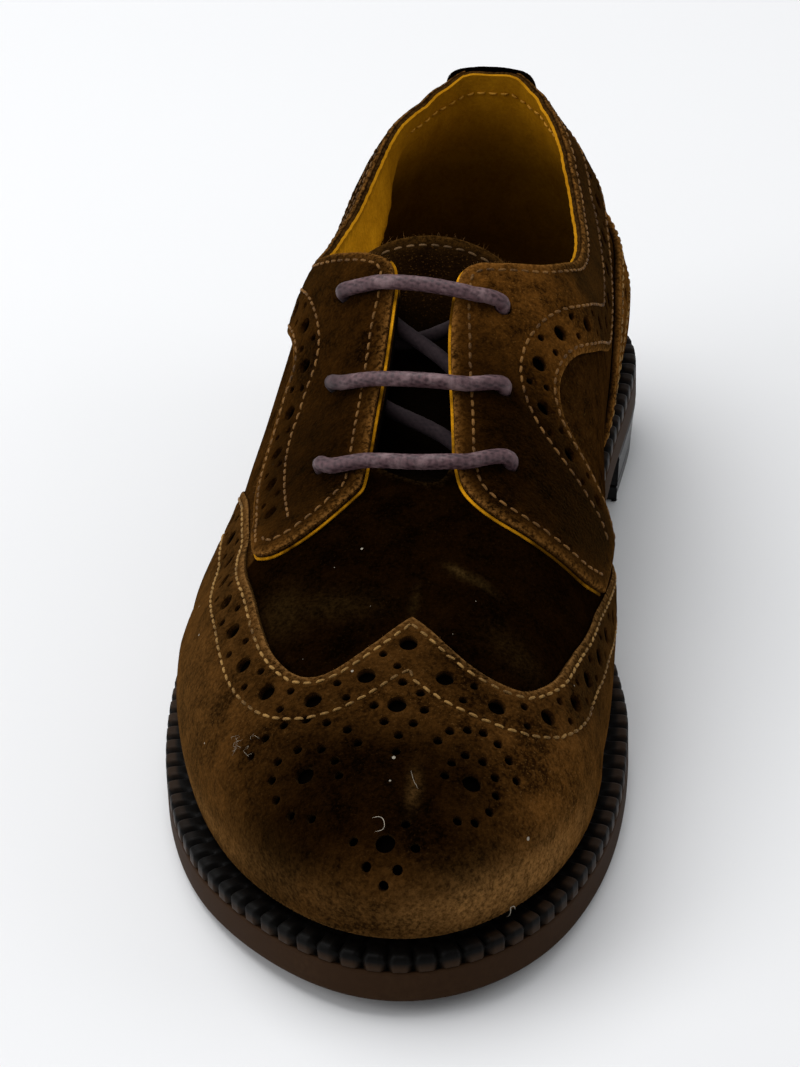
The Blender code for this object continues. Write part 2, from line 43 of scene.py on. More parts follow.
# lengths are in millimetres: across is + to the medial side, along runs forward from the back of the sole
last = {
    "heelCentre": 31.0, "toeCentre": 137.0, "heelBack": 2.5, "toeTip": 206.0,
    "heelRound": 2.2, "toeRound": 2.0, "bendStart": 88.0, "tipSwing": 5.8, "ballSlant": 0.30,
    "featherRise": 9.0, "overSteps": 120, "underSteps": 30, "tuckTurn": 0.75 * math.pi / 2,
    # along, lateral, medial
    "widths": [(31, 27.5, 27.5), (60, 27.3, 28.6), (75, 27.0, 30.0), (90, 28.6, 32.5), (111, 31.2, 36.5),
               (137, 36.2, 38.2)],
    # along, height, shift to medial
    "crest": [(0, 92, 0), (31, 92, 0), (55, 85, 0), (75, 76, 0), (95, 67, 0.5), (115, 58, 2.5), (140, 49.5, 5),
              (165, 43, 6.5), (185, 39.5, 6), (206, 36, 4)],
    # along, rise of the widest line, tuck, lateral fullness, medial fullness
    "sections": [(2.5, 12, 2.0, 2.20, 2.20), (5, 12, 2.0, 1.75, 1.75), (10, 12, 2.0, 1.42, 1.42),
                 (18, 12.5, 2.0, 1.34, 1.34), (31, 13, 2.0, 1.36, 1.40), (45, 13, 2.2, 1.46, 1.70),
                 (60, 13, 2.5, 1.85, 2.30), (75, 12.5, 2.8, 2.40, 2.80), (90, 12, 3.0, 1.90, 2.30),
                 (103, 11.5, 2.8, 1.58, 2.00), (115, 11, 2.5, 1.47, 2.00), (137, 9, 2.0, 1.64, 2.12),
                 (206, 8, 1.5, 2.40, 2.40)],
    # along, height of the outsole's underside
    "underside": [(0, 10.5), (52, 10.5), (75, 7.0), (95, 3.0), (118, 0), (160, 0), (185, 0.9), (210, 2.8)],
    # along, outsole edge beyond the widest line on the lateral side and on the medial side
    "margins": [(2.5, 2.5, 2.5), (31, 2.5, 2.5), (60, 2.5, 0.5), (85, 2.5, -2.0), (111, 3.0, -0.5),
                (137, 3.3, 2.8), (180, 4.6, 3.2), (206, 3.6, 3.6)],
}
last = {key: np.array(rows, float) if isinstance(rows, list) else rows for key, rows in last.items()}


def ramp(values):  # level below 0 and above 1
    return np.clip(values, 0, 1)


def eased(share):
    return share * share * (3 - 2 * share)


def bell(far, power=2):
    return np.exp(-(far**power))


def partWay(first, second, share):
    return first + (second - first) * share


def unit(vectors):
    return vectors / np.maximum(np.linalg.norm(vectors, axis=-1), 1e-9)[..., None]


def turnsOf(sides):  # the angles round a ring
    return np.arange(sides) * 2 * math.pi / sides


def lengthsAlong(points):
    return np.concatenate([[0], np.cumsum(np.linalg.norm(np.diff(points, axis=0), axis=1))])


def atLengths(at, far, points):
    return np.stack([np.interp(at, far, column) for column in points.T], 1)


def runningMean(points, width):
    wide = np.pad(points, ((width // 2, width // 2), (0, 0)), mode="edge")
    return np.stack([np.convolve(column, np.ones(width) / width, mode="valid") for column in wide.T], 1)


def readRows(rows, column, at):  # a column of a table along a smooth curve that doesn't overshoot
    xs, ys = rows[:, 0], rows[:, column]
    at = np.clip(np.asarray(at, float), xs[0], xs[-1])
    step = np.diff(xs)
    rise = np.diff(ys) / step
    slope = np.zeros_like(ys)
    same = rise[:-1] * rise[1:] > 0
    slope[1:-1][same] = 2 * rise[:-1][same] * rise[1:][same] / (rise[:-1] + rise[1:])[same]
    i = np.clip(np.searchsorted(xs, at, side="right") - 1, 0, len(xs) - 2)
    t = (at - xs[i]) / step[i]
    ends = (2 * t**3 - 3 * t**2 + 1) * ys[i] + (3 * t**2 - 2 * t**3) * ys[i + 1]
    return ends + step[i] * ((t**3 - 2 * t**2 + t) * slope[i] + (t**3 - t**2) * slope[i + 1])


def readSides(rows, along, medial):  # a lateral and a medial column, mixed
    return readRows(rows, 1, along) * (1 - medial) + readRows(rows, 2, along) * medial


def underside(along):
    return readRows(last["underside"], 1, along)


def crestHeight(along):
    return readRows(last["crest"], 1, along)


def swingIn(along):
    ahead = np.clip(along - last["bendStart"], 0, None)
    return last["tipSwing"] * (ahead / (last["toeTip"] - last["bendStart"])) ** 2


def slantAt(along):
    t = ramp((along - last["heelCentre"]) / (last["toeCentre"] - last["heelCentre"]))
    return last["ballSlant"] * t * t * (3 - 2 * t)


def rayOf(pattern):  # start on the crest line, direction and run of the ray under a pattern point
    start = np.clip(pattern[:, 1], last["heelCentre"], last["toeCentre"])
    step = np.stack([pattern[:, 0], pattern[:, 1] - start], 1)
    run = np.linalg.norm(step, axis=1)
    away = np.where(run[:, None] > 1e-9, step / np.maximum(run, 1e-9)[:, None], (1.0, 0.0))
    return start, away, run


def sectionLines(start, away):  # each ray from the crest over the side and under to the welt
    ux, uy = away.T
    medial = ux > 0
    width = np.where(medial, readRows(last["widths"], 2, start), readRows(last["widths"], 1, start))
    ahead = np.where(uy > 0, last["toeTip"] - last["toeCentre"], last["heelCentre"] - last["heelBack"])
    power = np.where(uy > 0, last["toeRound"], last["heelRound"])
    reach = ((np.abs(ux) / width) ** power + (np.abs(uy) / ahead) ** power) ** (-1 / power)
    foot = start + reach * uy
    full = np.where(medial, readRows(last["sections"], 4, foot), readRows(last["sections"], 3, foot))[:, None]
    welt = (underside(foot + slantAt(foot) * reach * ux) + last["featherRise"])[:, None]
    rise = readRows(last["sections"], 1, foot)[:, None]
    tuck = readRows(last["sections"], 2, foot)[:, None]
    turn = last["tuckTurn"]
    over = np.linspace(0, math.pi / 2, last["overSteps"])[None]
    under = np.linspace(0, turn, last["underSteps"] + 1)[None, 1:]
    tucked = (1 - np.cos(under)) / (1 - math.cos(turn))
    share = np.hstack([np.sin(over) ** (2 / full), 1 - tuck / reach[:, None] * tucked])
    across = share * (reach * ux)[:, None]
    along = start[:, None] + share * (reach * uy)[:, None]
    forward = along + slantAt(along) * across
    crest = crestHeight(forward[:, :last["overSteps"]])
    high = welt + rise + (crest - welt - rise) * np.cos(over) ** (2 / full)
    low = welt + rise * (1 - np.sin(under) / math.sin(turn))
    sideways = across + swingIn(along) + readRows(last["crest"], 2, start)[:, None] * (1 - share)
    return np.stack([sideways, forward, np.hstack([high, low])], -1)


def rayLengths(lines):
    return np.cumsum(np.linalg.norm(np.diff(lines, axis=1), axis=2), 1)


def footOf(pattern, up=0.0):  # where the rays through pattern points meet the welt, or a little above it
    start, away, _ = rayOf(np.atleast_2d(np.asarray(pattern, float)))
    girth = rayLengths(sectionLines(start, away))[:, -1] - up
    return np.stack([np.zeros_like(start), start], 1) + away * girth[:, None]


def layOnLast(pattern):
    start, away, run = rayOf(pattern)
    lines = sectionLines(start, away)
    far = np.hstack([np.zeros((len(lines), 1)), rayLengths(lines)])
    k = np.clip((far[:, 1:-1] < run[:, None]).sum(1), 0, far.shape[1] - 2)
    i = np.arange(len(lines))
    t = (run - far[i, k]) / np.maximum(far[i, k + 1] - far[i, k], 1e-9)
    return lines[i, k] + (lines[i, k + 1] - lines[i, k]) * t[:, None]


# the whole pattern is laid on the last once, on a fine chart, and read back from there
chart = {"low": np.array([-104.0, -62.0]), "high": np.array([104.0, 232.0]), "pitch": 0.8}


def fillChart():
    count = np.ceil((chart["high"] - chart["low"]) / chart["pitch"]).astype(int) + 1
    across = chart["low"][0] + chart["pitch"] * np.arange(count[0])
    rows = []
    for k in range(count[1]):
        row = np.stack([across, np.full(count[0], chart["low"][1] + chart["pitch"] * k)], 1)
        rows.append(layOnLast(row))
    chart["place"] = np.array(rows)
    setNormals()


def setNormals():
    chart["east"] = np.gradient(chart["place"], chart["pitch"], axis=1)
    chart["north"] = np.gradient(chart["place"], chart["pitch"], axis=0)
    up = np.cross(chart["east"], chart["north"])
    chart["normal"] = unit(up)


fillChart()


def readChart(layer, pattern):
    at = (np.asarray(pattern, float) - chart["low"]) / chart["pitch"]
    grid = chart[layer]
    i = np.clip(np.floor(at).astype(int), 0, np.array(grid.shape[1::-1]) - 2)
    u, v = ramp(at - i).T[:, :, None]
    x, y = i.T
    return ((grid[y, x] * (1 - u) + grid[y, x + 1] * u) * (1 - v)
            + (grid[y + 1, x] * (1 - u) + grid[y + 1, x + 1] * u) * v)


def placeOf(pattern):
    return readChart("place", pattern)


def upright(pattern):
    return unit(readChart("normal", pattern))


def lifted(pattern, lift):
    return placeOf(pattern) + upright(pattern) * np.reshape(lift, (-1, 1))


def onPattern(pattern, moves):  # pattern steps that make the given moves on the surface
    east, north = readChart("east", pattern), readChart("north", pattern)
    a, b, c = (east * east).sum(1), (east * north).sum(1), (north * north).sum(1)
    p, q = (moves * east).sum(1), (moves * north).sum(1)
    det = np.maximum(a * c - b * b, 1e-9)
    return np.stack([(c * p - b * q) / det, (a * q - b * p) / det], 1)


def smoothRun(points, pitch=0.5):  # a smooth curve through points, at a fine pitch
    p = np.asarray(points, float)
    p = np.vstack([2 * p[0] - p[1], p, 2 * p[-1] - p[-2]])
    out = []
    for a, b, c, d in zip(p, p[1:], p[2:], p[3:]):
        count = max(1, int(round(np.linalg.norm(c - b) / pitch)))
        t = (np.arange(count) / count)[:, None]
        out.append(0.5 * (2 * b + (c - a) * t + (2 * a - 5 * b + 4 * c - d) * t**2
                          + (3 * b - 3 * c + d - a) * t**3))
    return np.vstack(out + [p[-2:-1]])


def evenRun(run, spacing, closed=False):  # pattern points evenly spaced on the surface
    if closed:
        run = np.vstack([run, run[:1]])
    far = lengthsAlong(placeOf(run))
    count = max(2, int(round(far[-1] / spacing)))
    at = np.linspace(0, far[-1], count + 1)
    if closed:
        at = at[:-1]
    return atLengths(at, far, run)


def sideStep(run, distance, closed=False):  # a run moved sideways on the surface, + to the right of its way
    place = placeOf(run)
    if closed:
        ahead = np.roll(place, -1, 0) - np.roll(place, 1, 0)
    else:
        ahead = np.gradient(place, axis=0)
    side = unit(np.cross(ahead, upright(run)))
    return run + onPattern(run, side * np.reshape(distance, (-1, 1)))


def joined(*runs, closing=True):  # runs end to end, without the last point where they close a ring
    return np.vstack([run[:-1] for run in runs] + ([] if closing else [runs[-1][-1:]]))


def mirrored(points):
    return [(-across, along) for across, along in points]


def distanceTo(points, others):
    best = np.full(len(points), 1e9)
    for k in range(0, len(others), 200):
        far = ((points[:, None] - others[None, k:k + 200]) ** 2).sum(2).min(1)
        best = np.minimum(best, far)
    return np.sqrt(best)


def insideOf(points, outline):
    inside = np.zeros(len(points), bool)
    x, y = points.T
    for (x0, y0), (x1, y1) in zip(outline, np.roll(outline, -1, 0)):
        if y0 != y1:
            cross = ((y0 > y) != (y1 > y)) & (x < x0 + (y - y0) * (x1 - x0) / (y1 - y0))
            inside ^= cross
    return inside


def netOver(outline, pitch, rowPitch, stagger=0.5):  # points of a net over an outline's box
    low, high = outline.min(0), outline.max(0)
    x, y = np.meshgrid(np.arange(low[0], high[0], pitch), np.arange(low[1], high[1], rowPitch))
    x[1::2] += pitch * stagger
    return np.stack([x.ravel(), y.ravel()], 1)


def fillOutline(rings, inner, keepFace):  # triangles of a flat outline with holes
    points = np.vstack(rings + [inner])
    edges, base = [], 0
    for ring in rings:
        count = len(ring)
        edges += [(base + k, base + (k + 1) % count) for k in range(count)]
        base += count
    flat, _, faces, _, _, _ = delaunay_2d_cdt([Vector(p) for p in points], edges, [], 0, 1e-7)
    flat = np.array([(v.x, v.y) for v in flat])
    faces = np.array([face for face in faces if len(face) == 3])
    return flat, faces[keepFace(flat[faces].mean(1))]


def rimEdges(faces):  # the edges that only one face has, in that face's order
    pairs = np.vstack([faces[:, [0, 1]], faces[:, [1, 2]], faces[:, [2, 0]]])
    key = np.sort(pairs, 1)
    _, where, count = np.unique(key, axis=0, return_index=True, return_counts=True)
    return pairs[where[count == 1]]


def inFrame(points):
    points = np.asarray(points, float)
    middle = (soleEdge.min(0) + soleEdge.max(0)) / 2
    return np.stack([points[:, 0] - middle[0], middle[1] - points[:, 1], points[:, 2]], 1) * 0.001


def newObject(name, data):
    thing = bpy.data.objects.new(name, data)
    bpy.context.scene.collection.objects.link(thing)
    return thing


def placeMesh(name, mesh, material, sharp):
    mesh.shade_smooth()
    if sharp:
        mesh.set_sharp_from_angle(angle=math.radians(sharp))
    mesh.materials.append(material)
    piece = newObject(name, mesh)
    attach(piece, "root")
    return piece


def addPiece(name, points, faces, material, marks=None, sharp=None):
    mesh = bpy.data.meshes.new(name)
    mesh.from_pydata(inFrame(points).tolist(), [], [list(map(int, face)) for face in faces])
    mesh.update()
    for key, values in (marks or {}).items():
        layer = mesh.attributes.new(key, "FLOAT", "POINT")
        layer.data.foreach_set("value", np.asarray(values, np.float32))
    return placeMesh(name, mesh, material, sharp)


def tubePoints(line, side, up, size, sides):  # rings round a line
    turn = turnsOf(sides)[None, :, None]
    return line[:, None] + size[..., None] * (np.cos(turn) * side[:, None] + np.sin(turn) * up[:, None])


def tubeFaces(rings, sides):  # the wall's quads, then the two ends
    faces = [(k * sides + j, k * sides + (j + 1) % sides, (k + 1) * sides + (j + 1) % sides, (k + 1) * sides + j)
             for k in range(rings - 1) for j in range(sides)]
    return faces + [tuple(range(sides - 1, -1, -1)), tuple(range((rings - 1) * sides, rings * sides))]


def closeSheet(name, top, low, faces, material, marks):  # a solid between two sheets with the same faces
    a, b, c = (top[faces[:, k]] for k in range(3))
    if (np.cross(b - a, c - a) * (top - low)[faces[:, 0]]).sum() < 0:
        faces = faces[:, ::-1]
    # the frame mirrors the along axis, so faces are listed the other way round
    faces = faces[:, ::-1]
    count = len(top)
    rim = rimEdges(faces)
    walls = np.column_stack([rim[:, 1], rim[:, 0], rim[:, 0] + count, rim[:, 1] + count])
    everything = [*faces, *(faces[:, ::-1] + count), *walls]
    return addPiece(name, np.vstack([top, low]), everything, material, marks, 50)


# plan outlines of the sole and of the upper's lower edge

def rayRing(count):
    turn = np.linspace(0, math.pi / 2, count)
    sides = np.linspace(last["heelCentre"], last["toeCentre"], count)
    half = [(-math.sin(t), last["heelCentre"] - math.cos(t)) for t in turn[:-1]]
    half += [(-1.0, along) for along in sides[:-1]]
    half += [(-math.cos(t), last["toeCentre"] + math.sin(t)) for t in turn]
    return np.array(half + mirrored(half[-2:0:-1]))


def evenLoop(outline, count):
    ring = np.vstack([outline, outline[:1]])
    far = lengthsAlong(ring)
    return atLengths(np.arange(count) * far[-1] / count, far, ring)


def fromGap(part):  # an open part of a ring, listed from its gap on
    start = np.argmax(np.linalg.norm(part - np.roll(part, 1, 0), axis=1))
    return np.roll(part, -start, 0)


def outward(outline):
    tangent = unit(np.roll(outline, -1, 0) - np.roll(outline, 1, 0))
    normal = np.stack([tangent[:, 1], -tangent[:, 0]], 1)
    return normal if ((outline - outline.mean(0)) * normal).sum() > 0 else -normal


def planEdges(count):
    lines = sectionLines(*rayOf(rayRing(70))[:2])
    wide = lines[:, last["overSteps"] - 1, :2]
    margin = np.where(wide[:, 0] > swingIn(wide[:, 1]), readRows(last["margins"], 2, wide[:, 1]),
                      readRows(last["margins"], 1, wide[:, 1]))
    return evenLoop(wide + outward(wide) * margin[:, None], count), evenLoop(lines[:, -1, :2], count)


soleEdge, featherEdge = planEdges(660)
print("last laid out:", chart["place"].shape)


# shader helpers

def setInputs(node, inputs):
    for key, value in inputs.items():
        node.inputs[key.replace("_", " ")].default_value = value


def addNode(tree, kind, **inputs):
    node = tree.nodes.new(kind)
    setInputs(node, inputs)
    return node


def wire(tree, source, target):
    tree.links.new(source, target)


def plug(tree, value, target):  # a plain value or another node's output
    if isinstance(value, (int, float, tuple)):
        target.default_value = value
    else:
        wire(tree, value, target)


def objectSpace(tree):
    return tree.nodes.new("ShaderNodeTexCoord").outputs["Object"]


def mathNode(tree, operation, first, second, third=None, clamp=False):
    node = tree.nodes.new("ShaderNodeMath")
    node.operation = operation
    node.use_clamp = clamp
    for slot, value in enumerate((first, second, third)):
        if value is not None:
            plug(tree, value, node.inputs[slot])
    return node.outputs[0]


def mixColour(tree, factor, first, second, mode="MIX"):
    node = tree.nodes.new("ShaderNodeMix")
    node.data_type = "RGBA"
    node.blend_type = mode
    node.clamp_factor = True
    for slot, value in ((0, factor), (6, first), (7, second)):
        plug(tree, value, node.inputs[slot])
    return node.outputs[2]


def rangeNode(tree, value, low, high, toLow=0.0, toHigh=1.0):
    node = addNode(tree, "ShaderNodeMapRange", From_Min=low, From_Max=high, To_Min=toLow, To_Max=toHigh)
    node.clamp = True
    wire(tree, value, node.inputs["Value"])
    return node.outputs["Result"]


def noiseNode(tree, where, scale, detail=2.0, rough=0.5, bend=0.0):
    node = addNode(tree, "ShaderNodeTexNoise", Scale=scale, Detail=detail, Roughness=rough, Distortion=bend)
    wire(tree, where, node.inputs["Vector"])
    return node.outputs["Fac"]


def startGroup(name, inputs, outputs):
    tree = bpy.data.node_groups.new(name, "ShaderNodeTree")
    for label, kind, value in inputs:
        socket = tree.interface.new_socket(label, in_out="INPUT", socket_type=kind)
        socket.default_value = value
    for label, kind in outputs:
        tree.interface.new_socket(label, in_out="OUTPUT", socket_type=kind)
    return tree, tree.nodes.new("NodeGroupInput").outputs, tree.nodes.new("NodeGroupOutput").inputs


colourSocket, floatSocket = "NodeSocketColor", "NodeSocketFloat"


def makeNapGroup():  # brushed suede: deep and raised nap, worn places (on the toe partly painted sheen), raw edges, painted shade where dimmed and in holes
    tree, given, put = startGroup("suedeNap", [
        ("Deep", colourSocket, (0.02, 0.01, 0.004, 1)), ("Brushed", colourSocket, (0.1, 0.055, 0.02, 1)),
        ("Worn", colourSocket, (0.2, 0.12, 0.06, 1)), ("Worn Mask", floatSocket, 0.0),
        ("Edge Mask", floatSocket, 0.0), ("Dim Mask", floatSocket, 0.0), ("Shade Mask", floatSocket, 0.0),
        ("Patch Size", floatSocket, 60.0)],
        [("Colour", colourSocket), ("Height", floatSocket)])
    where = objectSpace(tree)
    patch = addNode(tree, "ShaderNodeTexNoise", Detail=4.0, Roughness=0.6, Distortion=0.9)
    wire(tree, where, patch.inputs["Vector"])
    wire(tree, given["Patch Size"], patch.inputs["Scale"])
    tuft = noiseNode(tree, where, 430.0, 3.0, 0.65)
    fibre = noiseNode(tree, where, 1500.0, 3.0, 0.65)
    stray = noiseNode(tree, where, 2700.0, 1.0)
    smudge = noiseNode(tree, where, 170.0, 3.0, 0.6, 0.5)
    lay = mathNode(tree, "MULTIPLY_ADD", rangeNode(tree, patch.outputs["Fac"], 0.36, 0.66), 0.44,
                   mathNode(tree, "MULTIPLY", rangeNode(tree, tuft, 0.36, 0.66), 0.26))
    lay = mathNode(tree, "ADD", lay, rangeNode(tree, smudge, 0.36, 0.64, -0.2, 0.2))
    lay = mathNode(tree, "ADD", lay, rangeNode(tree, fibre, 0.36, 0.66, -0.08, 0.4), clamp=True)
    colour = mixColour(tree, lay, given["Deep"], given["Brushed"])
    colour = mixColour(tree, rangeNode(tree, stray, 0.63, 0.74, 0.0, 0.45), colour, given["Worn"])
    # the dim mask paints shade, mixed on some pieces with their own darker tone
    colour = mixColour(tree, given["Dim Mask"], colour, (0.05, 0.042, 0.035, 1), "MULTIPLY")
    broken = mathNode(tree, "MULTIPLY", rangeNode(tree, tuft, 0.34, 0.62, 0.55, 1.0),
                      rangeNode(tree, fibre, 0.36, 0.62, 0.3, 1.0))
    worn = mathNode(tree, "MULTIPLY", given["Worn Mask"], broken, clamp=True)
    colour = mixColour(tree, worn, colour, given["Worn"])
    lightened = mathNode(tree, "MULTIPLY", given["Edge Mask"], rangeNode(tree, fibre, 0.4, 0.62, 0.05, 0.8))
    colour = mixColour(tree, lightened, colour, given["Worn"])
    colour = mixColour(tree, given["Shade Mask"], colour, (0.0016, 0.001, 0.0006, 1))
    wire(tree, colour, put["Colour"])
    height = mathNode(tree, "MULTIPLY_ADD", tuft, 0.6, mathNode(tree, "MULTIPLY", fibre, 0.8))
    wire(tree, height, put["Height"])
    return tree


def makeLintGroup():  # pale specks of dust
    tree, given, put = startGroup("lintSpecks", [("Spacing", floatSocket, 300.0), ("Size", floatSocket, 0.1),
                                                 ("Share", floatSocket, 0.2)], [("Mask", floatSocket)])
    where = objectSpace(tree)
    cells = tree.nodes.new("ShaderNodeTexVoronoi")
    wire(tree, where, cells.inputs["Vector"])
    wire(tree, given["Spacing"], cells.inputs["Scale"])
    pick = tree.nodes.new("ShaderNodeSeparateColor")
    wire(tree, cells.outputs["Color"], pick.inputs["Color"])
    chosen = mathNode(tree, "LESS_THAN", pick.outputs[0], given["Share"])
    size = mathNode(tree, "MULTIPLY", given["Size"], mathNode(tree, "MULTIPLY_ADD", pick.outputs[1], 1.2, 0.3))
    near = mathNode(tree, "LESS_THAN", cells.outputs["Distance"], size)
    wire(tree, mathNode(tree, "MULTIPLY", chosen, near), put["Mask"])
    return tree


def makeFilmGroup():  # uneven wear and thin dust on moulded rubber
    tree, given, put = startGroup("rubberFilm", [
        ("Fresh", colourSocket, (0.01, 0.01, 0.01, 1)), ("Dusty", colourSocket, (0.06, 0.05, 0.045, 1)),
        ("Dust", floatSocket, 0.4), ("Smooth", floatSocket, 0.35), ("Dull", floatSocket, 0.6)],
        [("Colour", colourSocket), ("Roughness", floatSocket), ("Height", floatSocket)])
    where = objectSpace(tree)
    cloud = noiseNode(tree, where, 70.0, 4.0, 0.6, 0.4)
    speck = noiseNode(tree, where, 900.0, 3.0, 0.7)
    film = mathNode(tree, "MULTIPLY", rangeNode(tree, cloud, 0.3, 0.75), rangeNode(tree, speck, 0.35, 0.7))
    film = mathNode(tree, "MULTIPLY", film, given["Dust"], clamp=True)
    wire(tree, mixColour(tree, film, given["Fresh"], given["Dusty"]), put["Colour"])
    spread = mathNode(tree, "SUBTRACT", given["Dull"], given["Smooth"])
    share = mathNode(tree, "MULTIPLY_ADD", speck, 0.5, mathNode(tree, "MULTIPLY", cloud, 0.5))
    wire(tree, mathNode(tree, "MULTIPLY_ADD", spread, share, given["Smooth"]), put["Roughness"])
    wire(tree, speck, put["Height"])
    return tree


napGroup, lintGroup, filmGroup = makeNapGroup(), makeLintGroup(), makeFilmGroup()


def startMaterial(name, **shader):
    material = bpy.data.materials.new(name)
    material.use_nodes = True
    tree = material.node_tree
    principled = tree.nodes["Principled BSDF"]
    setInputs(principled, shader)
    return material, tree, principled


def placeGroup(tree, group, **inputs):
    node = tree.nodes.new("ShaderNodeGroup")
    node.node_tree = group
    setInputs(node, inputs)
    return node


def readMark(tree, name):
    node = tree.nodes.new("ShaderNodeAttribute")
    node.attribute_name = name
    return node.outputs["Fac"]


def addBump(tree, principled, height, strength, depth):
    bump = addNode(tree, "ShaderNodeBump", Strength=strength, Distance=depth)
    wire(tree, height, bump.inputs["Height"])
    wire(tree, bump.outputs["Normal"], principled.inputs["Normal"])


def placeNap(tree, look, patch, marks):
    nap = placeGroup(tree, napGroup, Deep=look["deep"], Brushed=look["brushed"], Worn=look["worn"], Patch_Size=patch)
    for mark in marks:
        wire(tree, readMark(tree, mark), nap.inputs[mark.capitalize() + " Mask"])
    return nap


def suedeMaterial(name, look):
    material, tree, principled = startMaterial(
        name, Roughness=0.95, Specular_IOR_Level=0.0, Sheen_Weight=look["sheen"], Sheen_Roughness=0.4,
        Sheen_Tint=(0.9, 0.5, 0.16, 1))
    nap = placeNap(tree, look, look["patch"], ("worn", "edge", "dim", "shade"))
    colour = nap.outputs["Colour"]
    if look.get("lint"):
        specks = placeGroup(tree, lintGroup, Spacing=330.0, Size=0.07, Share=look["lint"]).outputs["Mask"]
        colour = mixColour(tree, mathNode(tree, "MULTIPLY", specks, 0.6), colour, (0.5, 0.45, 0.36, 1))
    wire(tree, colour, principled.inputs["Base Color"])
    addBump(tree, principled, nap.outputs["Height"], 0.75, 0.0006)
    return material


suedeLooks = {
    "cap": {"deep": (0.016, 0.0058, 0.001, 1), "brushed": (0.15, 0.061, 0.0125, 1), "worn": (0.22, 0.108, 0.032, 1),
            "patch": 48.0, "sheen": 0.05, "lint": 0.05},
    "facing": {"deep": (0.014, 0.005, 0.0008, 1), "brushed": (0.135, 0.051, 0.008, 1), "worn": (0.23, 0.1, 0.022, 1),
               "patch": 60.0, "sheen": 0.04, "lint": 0.02},
    "vamp": {"deep": (0.014, 0.0055, 0.001, 1), "brushed": (0.075, 0.03, 0.006, 1), "worn": (0.12, 0.068, 0.02, 1),
             "patch": 50.0, "sheen": 0.0, "lint": 0.05},
    "strip": {"deep": (0.004, 0.0025, 0.0015, 1), "brushed": (0.014, 0.009, 0.005, 1), "worn": (0.03, 0.02, 0.012, 1),
              "patch": 80.0, "sheen": 0.02},
    "tongue": {"deep": (0.0035, 0.0014, 0.0004, 1), "brushed": (0.01, 0.0042, 0.001, 1),
               "worn": (0.08, 0.035, 0.007, 1), "patch": 70.0, "sheen": 0.04},
}
suede = {key: suedeMaterial(key + "Suede", look) for key, look in suedeLooks.items()}


def liningMaterial(name, look):
    material, tree, principled = startMaterial(name, Roughness=0.85, Specular_IOR_Level=0.02)
    nap = placeNap(tree, look, 90.0, ("dim", "shade"))
    wire(tree, nap.outputs["Colour"], principled.inputs["Base Color"])
    addBump(tree, principled, nap.outputs["Height"], 0.4, 0.0004)
    return material


liningLooks = {
    "collar": {"deep": (0.6, 0.25, 0.005, 1), "brushed": (0.9, 0.4, 0.012, 1), "worn": (0.5, 0.2, 0.006, 1)},
    "insole": {"deep": (0.05, 0.022, 0.004, 1), "brushed": (0.11, 0.05, 0.01, 1), "worn": (0.16, 0.08, 0.02, 1)},
}
lining = {key: liningMaterial(key + "Leather", look) for key, look in liningLooks.items()}


def threadMaterial(name, colour, dark):
    material, tree, principled = startMaterial(name, Roughness=0.7, Specular_IOR_Level=0.15)
    where = objectSpace(tree)
    twist = noiseNode(tree, where, 3200.0, 1.0)
    ageing = rangeNode(tree, noiseNode(tree, where, 150.0, 3.0), 0.34, 0.64, 0.15, 0.95)
    share = mathNode(tree, "ADD", ageing, rangeNode(tree, twist, 0.35, 0.65, -0.15, 0.3), clamp=True)
    wire(tree, mixColour(tree, share, dark, colour), principled.inputs["Base Color"])
    addBump(tree, principled, twist, 0.5, 0.0002)
    return material


def laceMaterial():
    material, tree, principled = startMaterial("waxedCord", Specular_IOR_Level=0.3)
    where = objectSpace(tree)
    strand = readMark(tree, "braid")
    bloom = noiseNode(tree, where, 240.0, 4.0, 0.65)
    fleck = noiseNode(tree, where, 1500.0, 2.0, 0.6)
    share = mathNode(tree, "MULTIPLY_ADD", fleck, 1.1, -0.36)
    share = mathNode(tree, "MULTIPLY_ADD", strand, 0.24, share, clamp=True)
    colour = mixColour(tree, share, (0.034, 0.015, 0.019, 1), (0.185, 0.1, 0.108, 1))
    wax = rangeNode(tree, bloom, 0.5, 0.72, 0.0, 0.5)
    colour = mixColour(tree, wax, colour, (0.4, 0.27, 0.275, 1))
    colour = mixColour(tree, readMark(tree, "shade"), colour, (0.007, 0.003, 0.0045, 1))
    wire(tree, colour, principled.inputs["Base Color"])
    rough = rangeNode(tree, fleck, 0.3, 0.7, 0.42, 0.68)
    wire(tree, mathNode(tree, "MAXIMUM", rough, readMark(tree, "shade")), principled.inputs["Roughness"])
    addBump(tree, principled, fleck, 0.3, 0.0002)
    return material


def rubberMaterial(name, look):
    material, tree, principled = startMaterial(name, Specular_IOR_Level=look["gloss"])
    film = placeGroup(tree, filmGroup, Fresh=look["fresh"], Dusty=look["dusty"], Dust=look["dust"],
                      Smooth=look["smooth"], Dull=look["dull"])
    if "rib" in look:
        wire(tree, mixColour(tree, readMark(tree, "rib"), look["fresh"], look["rib"]), film.inputs["Fresh"])
    wire(tree, film.outputs["Colour"], principled.inputs["Base Color"])
    wire(tree, film.outputs["Roughness"], principled.inputs["Roughness"])
    addBump(tree, principled, film.outputs["Height"], look["bump"], 0.0003)
    return material


